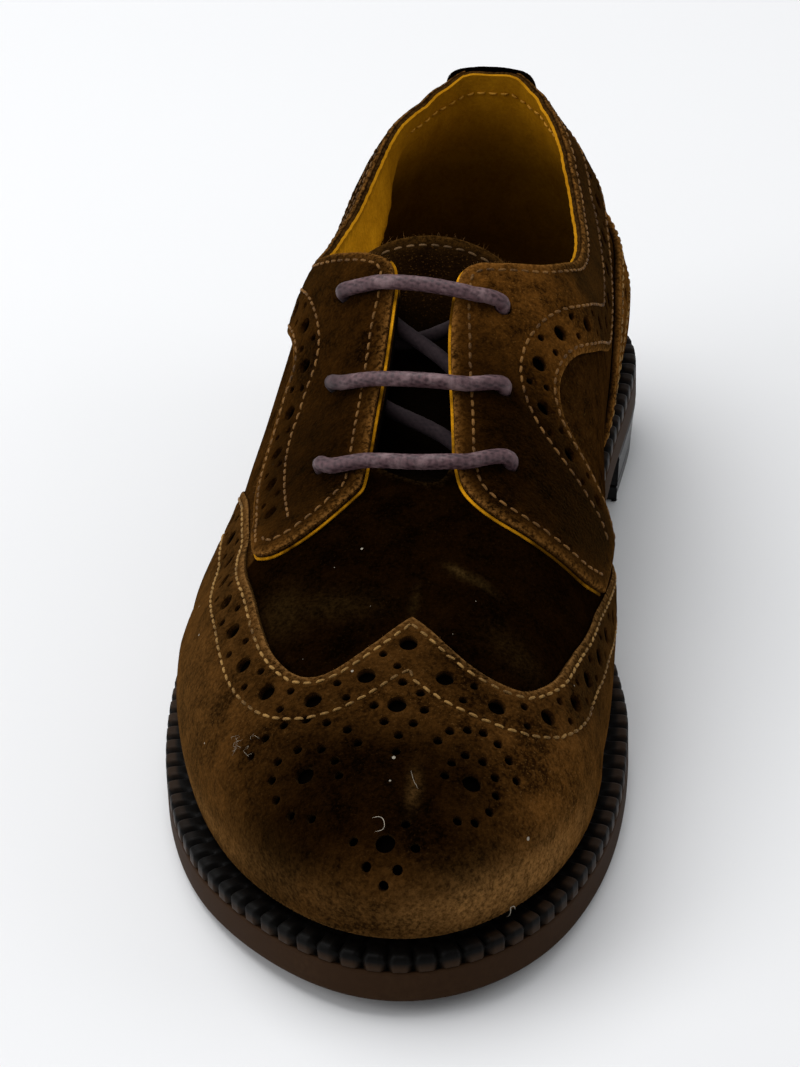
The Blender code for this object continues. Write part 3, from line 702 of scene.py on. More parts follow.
rubberLooks = {
    # the welt's near-black is painted shade over its top and in its notches; the rib colour is the rubber's own brown
    "welt": {"fresh": (0.0014, 0.0011, 0.0009, 1), "dusty": (0.014, 0.01, 0.007, 1), "rib": (0.026, 0.0132, 0.006, 1),
             "dust": 0.2, "smooth": 0.34, "dull": 0.6, "gloss": 0.06, "bump": 0.12},
    "outsole": {"fresh": (0.026, 0.0115, 0.0042, 1), "dusty": (0.052, 0.028, 0.013, 1), "dust": 0.45, "smooth": 0.55,
                "dull": 0.8, "gloss": 0.06, "bump": 0.08},
    "heel": {"fresh": (0.003, 0.0026, 0.0024, 1), "dusty": (0.02, 0.017, 0.014, 1), "dust": 0.3, "smooth": 0.22,
             "dull": 0.5, "gloss": 0.25, "bump": 0.06},
}
rubber = {key: rubberMaterial(key + "Rubber", look) for key, look in rubberLooks.items()}
threadLooks = {  # fresh and aged colour
    "tanThread": ((0.3, 0.165, 0.045, 1), (0.045, 0.02, 0.004, 1)),
    "brownThread": ((0.19, 0.088, 0.02, 1), (0.03, 0.012, 0.0025, 1)),
    "darkThread": ((0.13, 0.07, 0.025, 1), (0.035, 0.018, 0.006, 1)),
    "goldThread": ((0.62, 0.3, 0.03, 1), (0.3, 0.13, 0.01, 1)),
    "paleLint": ((0.5, 0.44, 0.35, 1), (0.22, 0.185, 0.14, 1)),
    "fibreNap": ((0.2, 0.085, 0.018, 1), (0.05, 0.02, 0.004, 1)),
}
threads = {name: threadMaterial(name, *look) for name, look in threadLooks.items()}
cord = laceMaterial()
print("materials ready:", len(bpy.data.materials))


# stitches are gathered from every piece and made as one mesh a thread
stitchLooks = {"pitch": 2.1, "share": 0.76, "halfWidth": 0.27, "halfHeight": 0.21, "rise": 0.1, "sides": 6,
               "sink": 0.2, "jitter": 0.07}
stitches = {"tan": [], "brown": [], "dark": [], "gold": []}


def sew(thread, run, lift):
    even = evenRun(run, stitchLooks["pitch"])
    begin, ahead = even[:-1], partWay(even[:-1], even[1:], stitchLooks["share"])
    heights = lift(begin)
    stitches[thread].append((lifted(begin, heights), lifted(ahead, heights), upright(begin)))


def seamHeight(look, thin):  # stitches lie a little into the suede
    return lambda spots: partWay(look["high"], look["thinHigh"], thin(spots)) - stitchLooks["sink"]


def makeStitches(name, rows, material):
    look = stitchLooks
    begin, end, up = (np.vstack([row[k] for row in rows]) for k in range(3))
    count = len(begin)
    jitter = rng.normal(0, look["jitter"], (count, 1))
    side = unit(np.cross(end - begin, up))
    begin, end = begin + side * jitter, end - side * jitter
    at = np.array([0.0, 0.1, 0.3, 0.7, 0.9, 1.0])
    size = np.array([0.3, 0.8, 1.0, 1.0, 0.8, 0.3])
    arch = np.array([-0.14, -0.02, 0.07, 0.07, -0.02, -0.14])
    n = look["sides"]
    turn = turnsOf(n)[:, None, None]
    ring = np.cos(turn) * side * look["halfWidth"] + np.sin(turn) * up * look["halfHeight"]
    spots = [begin + (end - begin) * t + up * (a + look["rise"]) + ring * s for t, s, a in zip(at, size, arch)]
    points = np.array(spots).transpose(2, 0, 1, 3)
    faces = tubeFaces(len(at), n)
    quads, caps = np.array(faces[:-2]), np.array(faces[-2:])
    shift = (np.arange(count) * n * len(at))[:, None, None]
    allFaces = [*(quads[None] + shift).reshape(-1, 4), *(caps[None] + shift).reshape(-1, n)]
    piece = addPiece(name, points.reshape(-1, 3), allFaces, material)
    print(name, count, "stitches")
    return piece


# sewn pieces

def roundHole(centre, radius):
    count = 16 if radius > 1 else 10
    turn = turnsOf(count)
    spot = np.repeat(np.array([centre], float), count, 0)
    east, north = readChart("east", spot), readChart("north", spot)
    first = unit(east)
    second = unit(north - first * (north * first).sum(1)[:, None])
    moves = (first * np.cos(turn)[:, None] + second * np.sin(turn)[:, None]) * radius
    return spot + onPattern(spot, moves)


def holesInside(holes, outline):
    return [hole for hole in holes if insideOf(np.array([hole[0]]), outline)[0]]


collarThin = {"reach": 8.0, "end": 90.0, "fade": 14.0}


def nearCollar(flat):  # the pieces lie thinner at the collar
    collar = np.vstack([runs["toplineLateral"][::-1], runs["backEdge"], runs["toplineMedial"]])
    far = distanceTo(placeOf(flat), placeOf(evenRun(collar, 1.2)))
    return ramp(1 - far / collarThin["reach"]) * ramp((collarThin["end"] - flat[:, 1]) / collarThin["fade"])


sheetLook = {"high": 1.45, "low": 0.12, "pitch": 1.15, "edgePitch": 0.8, "edgeDrop": 0.4, "edgeRound": 0.8,
             "holeRim": 0.32, "holeDrop": 0.16, "seamDrop": 0.2, "seamSwell": 0.06, "least": 0.12,
             # step in from the edge, least distance from it
             "insets": [(0.3, 0.25), (0.75, 0.6)]}


def sewnPiece(name, outline, holes, rows, look, material, marks=None, thin=None, settle=None):
    edge = evenRun(outline, look["edgePitch"], closed=True)
    turned = sideStep(edge, 0.5, closed=True)
    inwardSign = 1.0 if insideOf(turned, edge).mean() > 0.5 else -1.0
    hoops = [roundHole(centre, radius) for centre, radius in holes]
    rims = [roundHole(centre, radius + look["holeRim"]) for centre, radius in holes]
    pitch = look["pitch"]
    grid = netOver(edge, pitch, pitch * 0.866)
    grid = grid[insideOf(grid, edge)]
    insets = []
    for step, clear in look["insets"]:
        ring = sideStep(edge, step * inwardSign, closed=True)
        ring = ring[insideOf(ring, edge)]
        insets.append(ring[distanceTo(placeOf(ring), placeOf(edge)) > clear])
    soft = np.vstack(insets)
    grid = grid[distanceTo(placeOf(grid), placeOf(np.vstack([edge, soft]))) > 0.55 * pitch]
    if holes:
        spots = placeOf(np.array([centre for centre, _ in holes], float))
        radii = np.array([radius for _, radius in holes])

        def clearOfHoles(points):
            far = np.linalg.norm(placeOf(points)[:, None] - spots[None], axis=2) - radii
            return points[far.min(1) > look["holeRim"] + 0.4 * pitch]

        grid, soft = clearOfHoles(grid), clearOfHoles(soft)
    inner = np.vstack([soft, grid] + rims)

    def keep(centres):
        use = insideOf(centres, edge)
        for hoop in hoops:
            near = np.abs(centres - hoop.mean(0)).max(1) < 6
            use[near] &= ~insideOf(centres[near], hoop)
        return use

    flat, faces = fillOutline([edge] + hoops, inner, keep)
    place = placeOf(flat)
    toEdge = distanceTo(place, placeOf(edge))
    thinned = thin(flat) if thin else np.zeros(len(flat))
    lift = partWay(look["high"], look.get("thinHigh", look["high"]), thinned)
    base = partWay(look["low"], look.get("thinLow", look["low"]), thinned)
    lift -= look["edgeDrop"] * ramp(1 - toEdge / look["edgeRound"]) ** 2
    if holes:
        toHole = distanceTo(place, placeOf(np.vstack(hoops)))
        lift -= look["holeDrop"] * ramp(1 - toHole / 0.5) ** 2
    for row in rows:
        near = distanceTo(place, placeOf(evenRun(row, 0.5)))
        lift -= look["seamDrop"] * bell(near / 0.5) - look["seamSwell"] * bell((near - 1.5) / 0.8)
    lift = np.maximum(lift, base + look["least"])
    if settle:
        lift, base = lift - settle(flat), base - settle(flat)
    top = place + upright(flat) * lift[:, None]
    under = place + upright(flat) * base[:, None]
    count = len(flat)
    values = {"edge": np.concatenate([ramp(1 - toEdge), np.zeros(count)]),
              "shade": np.concatenate([np.zeros(count), np.ones(count)]),
              "worn": np.zeros(2 * count), "dim": np.zeros(2 * count)}
    for key, rule in (marks or {}).items():
        values[key] = np.concatenate([rule(flat, place), values[key][count:]])
    piece = closeSheet(name, top, under, faces, material, values)
    print(name, len(piece.data.polygons), "faces")
    return piece


patterns = {
    "toplineLateral": [(-7.5, -2.7), (-13.6, -0.4), (-25, 11.5), (-36.5, 35), (-37.5, 50.5), (-36.5, 61.5),
                       (-31.5, 72.5), (-24.5, 79.5), (-16.5, 84.5), (-9, 88.2), (-5.4, 91), (-4.4, 96)],
    "toplineMedial": [(7.5, -2.7), (13.6, -0.4), (24.5, 12), (35.5, 35), (37.5, 49.5), (37.5, 58.5), (34.5, 66),
                      (29, 73), (22, 80), (14, 85), (9.5, 87.4), (7, 90.5), (6.4, 95.5)],
    "gapLateral": [(-4.4, 96), (-5, 103), (-6.2, 112), (-7.2, 120), (-8.2, 129)],
    "gapMedial": [(6.4, 95.5), (6.2, 101), (6.5, 109.5), (7.1, 117), (7.6, 126)],
    "throat": [(-8.2, 129), (-5, 132.5), (0.5, 133.6), (5, 131.5), (7.6, 126)],
    "backEdge": [(-7.5, -2.7), (0, -3.6), (7.5, -2.7)],
    "frontLateral": [(-8.2, 129), (-9.1, 136), (-10.6, 141), (-13.4, 145.8), (-17, 149.4), (-21, 151.2), (-25, 150.4),
                     (-27.3, 148.2)],
    "frontMedial": [(7.6, 126), (9, 131), (11.7, 133), (15.6, 133.5), (20.5, 132.7), (28.5, 130.6), (36.5, 127.4),
                    (44, 121.8)],
    "swanLateral": [(-27.3, 148.2), (-32, 140), (-34, 128), (-33.5, 115), (-31, 105), (-28.5, 98.5), (-31, 91.5),
                    (-38, 83.5), (-46, 75.5), (-51.5, 64), (-51.5, 50.5), (-51, 35), (-40.5, 9), (-27, -5.5),
                    (-17, -12.5), (-8.5, -15.6)],
    "swanMedial": [(50.5, 105), (46.5, 103.2), (40.5, 103.2), (34.8, 102.6), (31, 101.2), (29, 97.5), (29.6, 93),
                   (33, 87.5), (41, 79.5), (52.5, 67), (55, 60.5), (54, 49.5), (51.5, 35), (40.5, 9),
                   (27, -5.5), (17, -12.5), (8.5, -15.6)],
    "wingLateral": [(-74, 88), (-61, 97), (-49, 108), (-40, 121.5), (-36.6, 132), (-34, 141.5), (-28.2, 151),
                    (-22, 159), (-19, 165), (-16.2, 171), (-12.7, 175.6), (-9.5, 177.2), (-6, 175.8), (-0.7, 170.2),
                    (2, 167), (4.9, 164)],
    "wingMedial": [(4.9, 164), (8, 165.6), (15.5, 169.8), (21.5, 171.4), (27.8, 170.4), (32, 166.8), (36, 158.5),
                   (37.7, 148.5), (38.2, 139.5), (40.9, 130.5), (45.6, 121.5), (50.4, 113), (56.5, 104), (64, 96),
                   (74, 87)],
    "counter": [(-75, 66), (-69, 59), (-63, 50.5), (-59, 35), (-50, 7.5), (-23, -19.5), (0, -25.5), (23, -19.5),
                (50, 7.5), (59.5, 35), (65, 49.5), (71, 56.5), (78, 62)],
    "strip": [(0, -3.3), (6, -2.9), (10.8, -1.5), (12.2, -2.2), (12.9, -5), (14.3, -12), (15.4, -19.5), (14.8, -21.6),
              (8, -23.3), (0, -24), (-8, -23.3), (-14.8, -21.6), (-15.4, -19.5), (-14.3, -12), (-12.9, -5),
              (-12.2, -2.2), (-10.8, -1.5), (-6, -2.9), (0, -3.3)],
    "stripRow": [(10.7, -4), (12.2, -12), (13, -18.5), (11.5, -20.6)],
    "eyeletsLateral": [(-14.3, 94), (-15.9, 111), (-17, 131.5)],
    "eyeletsMedial": [(15, 92.8), (16.4, 107), (18, 121)],
}
runs = {key: smoothRun(points) for key, points in patterns.items() if not key.startswith("eyelets")}


# the collar leans in a little, and the outline is eased where the photograph asks for it
ease = {"lean": 1.6, "leanReach": 24.0,
        # across, along, radius, push
        "pushes": [(-46, 106, 18, 1.5), (-39, 139, 14, -1.7), (-38, 156, 11, -0.7), (47, 150, 16, -1.2),
                   (47, 127, 10, -0.5)]}


def easeSurface():
    rows, columns = chart["place"].shape[:2]
    across = chart["low"][0] + chart["pitch"] * np.arange(columns)
    along = chart["low"][1] + chart["pitch"] * np.arange(rows)
    grid = np.stack(np.meshgrid(across, along), -1)
    push = np.zeros((rows, columns))
    for x, y, radius, amount in ease["pushes"]:
        push += amount * np.exp(-((grid - (x, y)) ** 2).sum(2) / radius**2)
    topline = np.vstack([runs["toplineLateral"][::6], runs["backEdge"][::6], runs["toplineMedial"][::6]])
    rear = along < 95
    near = distanceTo(grid[rear].reshape(-1, 2), topline).reshape(-1, columns)
    fade = ramp((92 - along[rear]) / 22) * (0.35 + 0.65 * ramp(along[rear] / 25))
    push[rear] -= ease["lean"] * ramp(1 - near / ease["leanReach"]) ** 1.5 * fade[:, None]
    chart["place"] += chart["normal"] * push[..., None]
    setNormals()


easeSurface()


def faired(run):  # irons a run on the surface, where the toe's fan begins
    place = placeOf(run)
    near = bell((run[:, 1] - last["toeCentre"]) / 7, 4)
    return run + onPattern(run, runningMean(place, 31) - place) * near[:, None]


for key in ("wingLateral", "wingMedial"):
    runs[key] = faired(runs[key])


def roomBelow(pattern, up=0.0):  # what is left of a point's ray down to the welt
    start, _, run = rayOf(pattern)
    return np.linalg.norm(footOf(pattern, up) - np.stack([0 * start, start], 1), axis=1) - run


def belowEdge(edge, up, overToe):  # a piece under an edge that runs from the lateral welt to the medial one
    edge = edge[roomBelow(edge, up) > 0.5]
    edge = np.vstack([footOf(edge[0], up), edge, footOf(edge[-1], up)])
    ring = footOf(rayRing(90), up)
    lateral, medial = (np.linalg.norm(ring - edge[k], axis=1).argmin() for k in (0, -1))
    if overToe:
        return np.vstack([edge, ring[lateral + 1:medial][::-1]])
    return np.vstack([edge, ring[medial + 1:], ring[:lateral]])


brogue = {"firstRow": 1.4, "secondRow": 8.2, "middle": 4.8, "bigPitch": 9.3, "big": 1.5, "small": 0.72,
          "spread": 1.75, "step": 0.25}


def pastAxis(run, axis, side, start):  # a run trimmed to one side of the wing's axis, from a point on it
    return np.vstack([[start], run[(run[:, 0] - axis) * side > 0.4]])


def evened(line):  # irons the heel part, where straight rays meet the fan
    return partWay(line, runningMean(line, 25), ramp((62 - line[:, 1]) / 10)[:, None])


def broguing(run, side, begin=0.0, finish=0.0, peak=None):  # two stitch rows along an edge and the holes between them
    first, middle, second = (faired(evened(sideStep(run, side * brogue[key])))
                             for key in ("firstRow", "middle", "secondRow"))
    if peak:
        starts, way = peak
        first, middle, second = (pastAxis(line, spot[0], way, spot)
                                 for line, spot in zip((first, middle, second), starts))
    step = brogue["step"]
    middle = evenRun(middle, step)
    length = (len(middle) - 1) * step
    holes = []
    at = begin
    while at < length - finish:
        holes.append((middle[int(at / step)], brogue["big"]))
        half = int((at + brogue["bigPitch"] / 2) / step)
        if half < len(middle) - 2 and at + brogue["bigPitch"] / 2 < length - finish:
            here = middle[half - 1:half + 2]
            for across in (-brogue["spread"], brogue["spread"]):
                holes.append((sideStep(here, across)[1], brogue["small"]))
        at += brogue["bigPitch"]
    return first, second, holes


# wing cap
wing = {"hem": 1.2, "peak": ((5.1, 165.8), (5.3, 169.8), (6.5, 175.3)), "medallionAxis": 6.8, "big": 1.55, "small": 0.8,
        # across from the axis, along, 1 for a large hole
        "centre": [(-1.5, 182.5, 1), (0, 207, 1), (-5.4, 183, 0), (-1.2, 178, 0), (2.4, 179.6, 0), (3.6, 182.8, 0),
                   (2, 185.7, 0), (-3.2, 186, 0), (-0.3, 188.3, 0), (-0.3, 191.3, 0), (-5.4, 207, 0), (5.4, 207, 0),
                   (-2.8, 210.6, 0), (2.6, 210.6, 0), (0.4, 213, 0), (3.2, 203.6, 0)],
        "half": [(14.6, 195.6, 1), (9, 187.8, 0), (7, 190.2, 0), (12.4, 186.4, 0), (15.6, 185.6, 0), (18.8, 186.2, 0),
                 (21.4, 188, 0), (23.4, 190.6, 0), (19, 192.6, 0), (16.2, 191, 0), (12.6, 191.2, 0), (10.2, 193.4, 0),
                 (9.2, 196, 0), (19.6, 195.6, 0), (18.6, 199, 0), (16, 202, 0), (12.6, 203, 0)],
        # tone, darkest and the band's value set the painted shade over the cap
        "medialShift": -2.2, "bandShade": 0.3, "tone": 0.5, "darkest": 0.975,
        # the rim values paint sheen along the toe's lower rim, mixed with real wear
        "wearAndSheen": 0.2, "medialWearAndSheen": 1.05, "lateralSheen": 0.4, "rimHigh": 6.5, "rimWide": 4.2, "scuff": 0.32,
        "thinFrom": 156.0, "thinOver": 14.0, "holeFinish": 9.0}
wingLook = {**sheetLook, "pitch": 1.1, "thinHigh": 0.6, "thinLow": 0.1}


def medallion():
    axis, sizes = wing["medallionAxis"], (wing["small"], wing["big"])
    holes = [((axis + x, y), sizes[big]) for x, y, big in wing["centre"]]
    for x, y, big in wing["half"]:
        holes += [((axis - x, y), sizes[big]), ((axis + x, y + wing["medialShift"]), sizes[big])]
    return holes


def wingEdge():
    return joined(runs["wingLateral"], runs["wingMedial"], closing=False)


def spotOf(flat, x, y, wide, long, power=2):
    return np.exp(-np.abs((flat[:, 0] - x) / wide) ** power - np.abs((flat[:, 1] - y) / long) ** power)


def toeWearAndSheen(flat, place):  # nap rubbed pale round the toe's lower edge and in one scuff; the rim's paleness is partly painted sheen, and on the lateral side painted sheen and highlight
    room = roomBelow(flat)
    ahead = ramp((place[:, 1] - 165) / 25)
    medial = ramp((flat[:, 0] - 6) / 20)
    rim = bell((room - wing["rimHigh"]) / wing["rimWide"])
    lateral = 0.12 * spotOf(flat, -36, 178, 12, 16)
    lateral += wing["lateralSheen"] * ramp((-flat[:, 0] - 14) / 14) * bell((room - 5) / 2.4)
    scuff = wing["scuff"] * spotOf(flat, 10.6, 197.6, 1.1, 3.2)
    return ramp(ahead * (wing["wearAndSheen"] + wing["medialWearAndSheen"] * medial) * rim + lateral + scuff)


def toeToneAndShade(flat, place):  # the cap's tone with painted shade: darker over the toe's middle and low on the lateral side, lighter on the medial one, and darker in the band of holes
    x, y = flat.T
    tone = wing["tone"] - 0.42 * ramp((x - 18) / 18) * ramp((205 - y) / 14)
    tone += (wing["darkest"] - tone) * spotOf(flat, 5, 198, 24, 13, 4)
    tone += 0.25 * spotOf(flat, -16, 211, 14, 9) + 0.1 * spotOf(flat, 8, 216, 30, 8)
    tone += 0.45 * ramp((place[:, 0] - 34) / 10)
    tone += 0.6 * ramp((x - 2) / 20) * ramp((176 - y) / 26) * ramp((place[:, 2] - 14) / 14)
    fromEdge = distanceTo(place, placeOf(evenRun(wingEdge(), 0.8)))
    tone += wing["bandShade"] * (1 - tone) * bell((fromEdge - brogue["middle"]) / 3.6, 4)
    return np.clip(tone, 0, wing["darkest"])


def wingEnds(flat):  # the wings lie thinner where they run back along the sides
    return ramp((wing["thinFrom"] - flat[:, 1]) / wing["thinOver"])


def makeWing():
    outline = belowEdge(wingEdge(), wing["hem"], True)
    # from the peak down each side
    firstL, secondL, holesL = broguing(runs["wingLateral"][::-1], 1, finish=wing["holeFinish"],
                                       peak=(wing["peak"], -1))
    firstM, secondM, holesM = broguing(runs["wingMedial"], -1, begin=brogue["bigPitch"],
                                       finish=wing["holeFinish"], peak=(wing["peak"], 1))
    rows = [row[insideOf(row, outline)] for row in (firstL, firstM, secondL, secondM)]
    holes = holesInside(holesL + holesM + medallion(), outline)
    # worn: real wear with painted sheen; dim: painted shade over the cap's tone
    marks = {"worn": toeWearAndSheen, "dim": toeToneAndShade}
    piece = sewnPiece("wingCap", outline, holes, rows, wingLook, suede["cap"], marks, wingEnds)
    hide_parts("wing_cap")
    for row in rows:
        sew("tan", row, seamHeight(wingLook, wingEnds))
    return outline


wingOutline = makeWing()


# facings with the collar bands
facing = {"topRow": 1.7, "gapRow": 3.0, "frontRow": 2.8, "eyelet": 1.6, "holeBegin": 7.0, "holeFinish": 6.0,
          "holeClear": 2.4, "lateralTone": 0.9, "medialTone": 0.02}
facingLook = {**sheetLook, "high": 1.6, "low": 0.4, "thinHigh": 0.75, "thinLow": 0.02}
sideNames = {-1: "Lateral", 1: "Medial"}


def facingToneAndShade(side, inner):  # the photograph's darker lower part, with the nap raised beside the edges
    def rule(flat, place):
        near = distanceTo(place, placeOf(evenRun(inner, 0.8)))
        low = ramp((flat[:, 1] - 87) / 22)
        rear = ramp((84 - flat[:, 1]) / 10)
        # painted shade: the medial facing darker towards its lower part and at the rear
        if side > 0:
            tone = facing["medialTone"] + 0.93 * eased(low) + 0.8 * rear
        else:
            tone = facing["lateralTone"] + 0.05 * np.sin(flat[:, 1] / 9) + 0.06 * rear
            tone -= 0.12 * ramp((100 - flat[:, 1]) / 14) * (1 - rear)
        return ramp(tone * (1 - 0.3 * bell(near / 3.2)))
    return rule


def makeFacing(side):
    name = sideNames[side]
    top, gap, front, swan = (runs[key + name] for key in ("topline", "gap", "front", "swan"))
    corner = [smoothRun([front[-1], swan[0]])] if side > 0 else []
    outline = joined(top, gap, front, *corner, swan, smoothRun([swan[-1], top[0]]))
    eyelets = np.array(patterns["eyelets" + name], float)
    first, second, holes = broguing(swan, side, facing["holeBegin"], facing["holeFinish"])
    inner = np.vstack([top, gap[1:], front[1:]])
    steps = np.concatenate([np.full(len(top), facing["topRow"]), np.full(len(gap) - 1, facing["gapRow"]),
                            np.full(len(front) - 1, facing["frontRow"])])
    edgeRow = sideStep(inner, side * runningMean(steps[:, None], 25)[:, 0])
    rows = [row[insideOf(row, outline)] for row in (first, second, edgeRow)]
    around = placeOf(np.vstack([inner, eyelets]))
    keptHoles = []
    for spot, radius in holesInside(holes, outline):
        clear = distanceTo(placeOf(np.array([spot])), around)[0]
        if clear > radius + facing["holeClear"] and spot[1] > -8:
            keptHoles.append((spot, radius))
    keptHoles += [(spot, facing["eyelet"]) for spot in eyelets]
    marks = {"dim": facingToneAndShade(side, np.vstack([gap, front[1:], swan[swan[:, 1] > 90]]))}
    piece = sewnPiece("facing" + name, outline, keptHoles, rows, facingLook, suede["facing"], marks, nearCollar)
    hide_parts("facing_" + name.lower())
    for row in rows:
        sew("brown", row, seamHeight(facingLook, nearCollar))
    return outline


facingOutlines = [makeFacing(-1), makeFacing(1)]


# counter and back strip
counter = {"holeBegin": 6.0, "holeFinish": 6.0, "seam": 1.32}


def makeCounter():
    outline = belowEdge(runs["counter"], wing["hem"], False)
    first, second, holes = broguing(runs["counter"], 1, counter["holeBegin"], counter["holeFinish"])
    rows = [row[insideOf(row, outline)] for row in (first, second)]
    piece = sewnPiece("counterSuede", outline, holesInside(holes, outline), rows, sheetLook, suede["facing"])
    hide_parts("counter")
    for row in rows:
        sew("tan", row, lambda spots: counter["seam"])
    return outline


counterOutline = makeCounter()


strip = {**sheetLook, "high": 2.35, "low": 1.66, "thinHigh": 1.5, "thinLow": 0.95, "settleFrom": 47.6,
         "settleOver": 3.6, "settle": 1.55}


def stripSettle(flat):  # below the collar bands the strip comes down onto the heel
    fromCentre = np.hypot(flat[:, 0], flat[:, 1] - last["heelCentre"])
    return strip["settle"] * eased(ramp((fromCentre - strip["settleFrom"]) / strip["settleOver"]))


def makeBackStrip():
    rows = [smoothRun(patterns["stripRow"]), smoothRun(mirrored(patterns["stripRow"]))]
    piece = sewnPiece("backStrip", runs["strip"][:-1], [], rows, strip, suede["strip"], thin=nearCollar,
                      settle=stripSettle)
    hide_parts("back_strip")
    height = seamHeight(strip, nearCollar)
    for row in rows:
        sew("dark", row, lambda spots: height(spots) - stripSettle(spots))


makeBackStrip()


# upper wall and lining
shell = {"outer": 0.0, "between": -1.15, "inner": -1.85, "thinBetween": -0.55, "thinInner": -1.1, "pitch": 1.3,
         # the vamp shows between the facings and the wing
         "vamp": [(-27.5, 150), (-9, 118), (8, 116), (44.3, 118.5), (56, 112), (56, 172), (0, 190), (-27.5, 178)],
         # across, along, reach across, reach along, strength
         "scuffs": [(13, 150.5, 2.6, 0.9, 0.4), (17.5, 150, 3.2, 0.8, 0.3), (4.6, 160, 0.7, 3.2, 0.16),
                    (-9, 161.5, 7, 3, 0.1), (27, 161, 6, 4, 0.1), (-16, 163, 4, 5, 0.12)],
         # flex creases of the vamp
         "creases": [[(-19.6, 157.2), (-13.3, 158.6), (-7.8, 159), (-2.6, 158.2)],
                     [(-9, 144), (-2, 146.5), (7, 147), (16, 144.5), (25, 140)],
                     [(12, 158.5), (20, 160.5), (28, 158), (33, 152)]], "creaseDepth": 0.5, "creaseWidth": 1.5,
         # painted shade: the vamp between the raised pieces darkened nearly to black, the covered upper dimmed
         "vampShade": 0.947, "coveredShade": 0.4, "rawEdge": 0.2}
lined = {
    # along, pale depth on the lateral side and on the medial side, fade
    "pale": np.array([(0, 6, 6, 17.0), (28, 8, 4, 11.0), (50, 7, 4, 6.0), (90, 5.5, 4, 4.0), (210, 5, 4, 4.0)]),
    # along, painted shade dimming the pale lining on the lateral side and on the medial side
    "dim": np.array([(0, 0.55, 0.55), (25, 0.45, 0.5), (45, 0.05, 0.45), (90, 0, 0.3), (210, 0, 0)]),
    # along, padding on the lateral side and on the medial side
    "pad": np.array([(5, 0, 0), (22, 2.8, 0.6), (42, 5.2, 1.4), (68, 4.2, 1.4), (86, 0, 0)]),
    "darkest": 0.87, "padPeak": 9.0, "padEnd": 26.0, "bead": 0.12, "beadAt": 5.0,
    "rowAt": 4.2, "rowPitch": 2.4, "rowShare": 0.7, "rowLift": 0.05,
}


def scuffMask(flat):
    worn = np.zeros(len(flat))
    for x, y, wide, long, strength in shell["scuffs"]:
        worn = np.maximum(worn, strength * spotOf(flat, x, y, wide, long))
    return worn


def creaseLift(place):  # a soft trough between two low ridges
    lift = np.zeros(len(place))
    for points in shell["creases"]:
        run = evenRun(smoothRun(points), 0.5)
        spots = placeOf(run)
        far = np.linalg.norm(place[:, None] - spots[None, ::2], axis=2)
        at = far.argmin(1)
        ends = ramp(np.minimum(at, len(spots[::2]) - 1 - at) / 8)
        far = far.min(1) / shell["creaseWidth"]
        lift += shell["creaseDepth"] * ends * (0.55 * bell(far - 1.9) - bell(far))
    return lift


def openingOutline():
    opening = joined(runs["toplineLateral"], runs["gapLateral"], runs["throat"], runs["gapMedial"][::-1],
                     runs["toplineMedial"][::-1], runs["backEdge"][::-1])
    return evenRun(opening, 0.8, closed=True)


def coveredBy(flat):  # under a sewn piece the suede never sees light
    shade = np.zeros(len(flat))
    for outline in (wingOutline, counterOutline, *facingOutlines):
        edge = evenRun(outline, 1.0, closed=True)
        under = insideOf(flat, edge)
        near = distanceTo(placeOf(flat), placeOf(edge))
        shade = np.maximum(shade, np.where(under, ramp(near / 1.2), 0))
    return shade


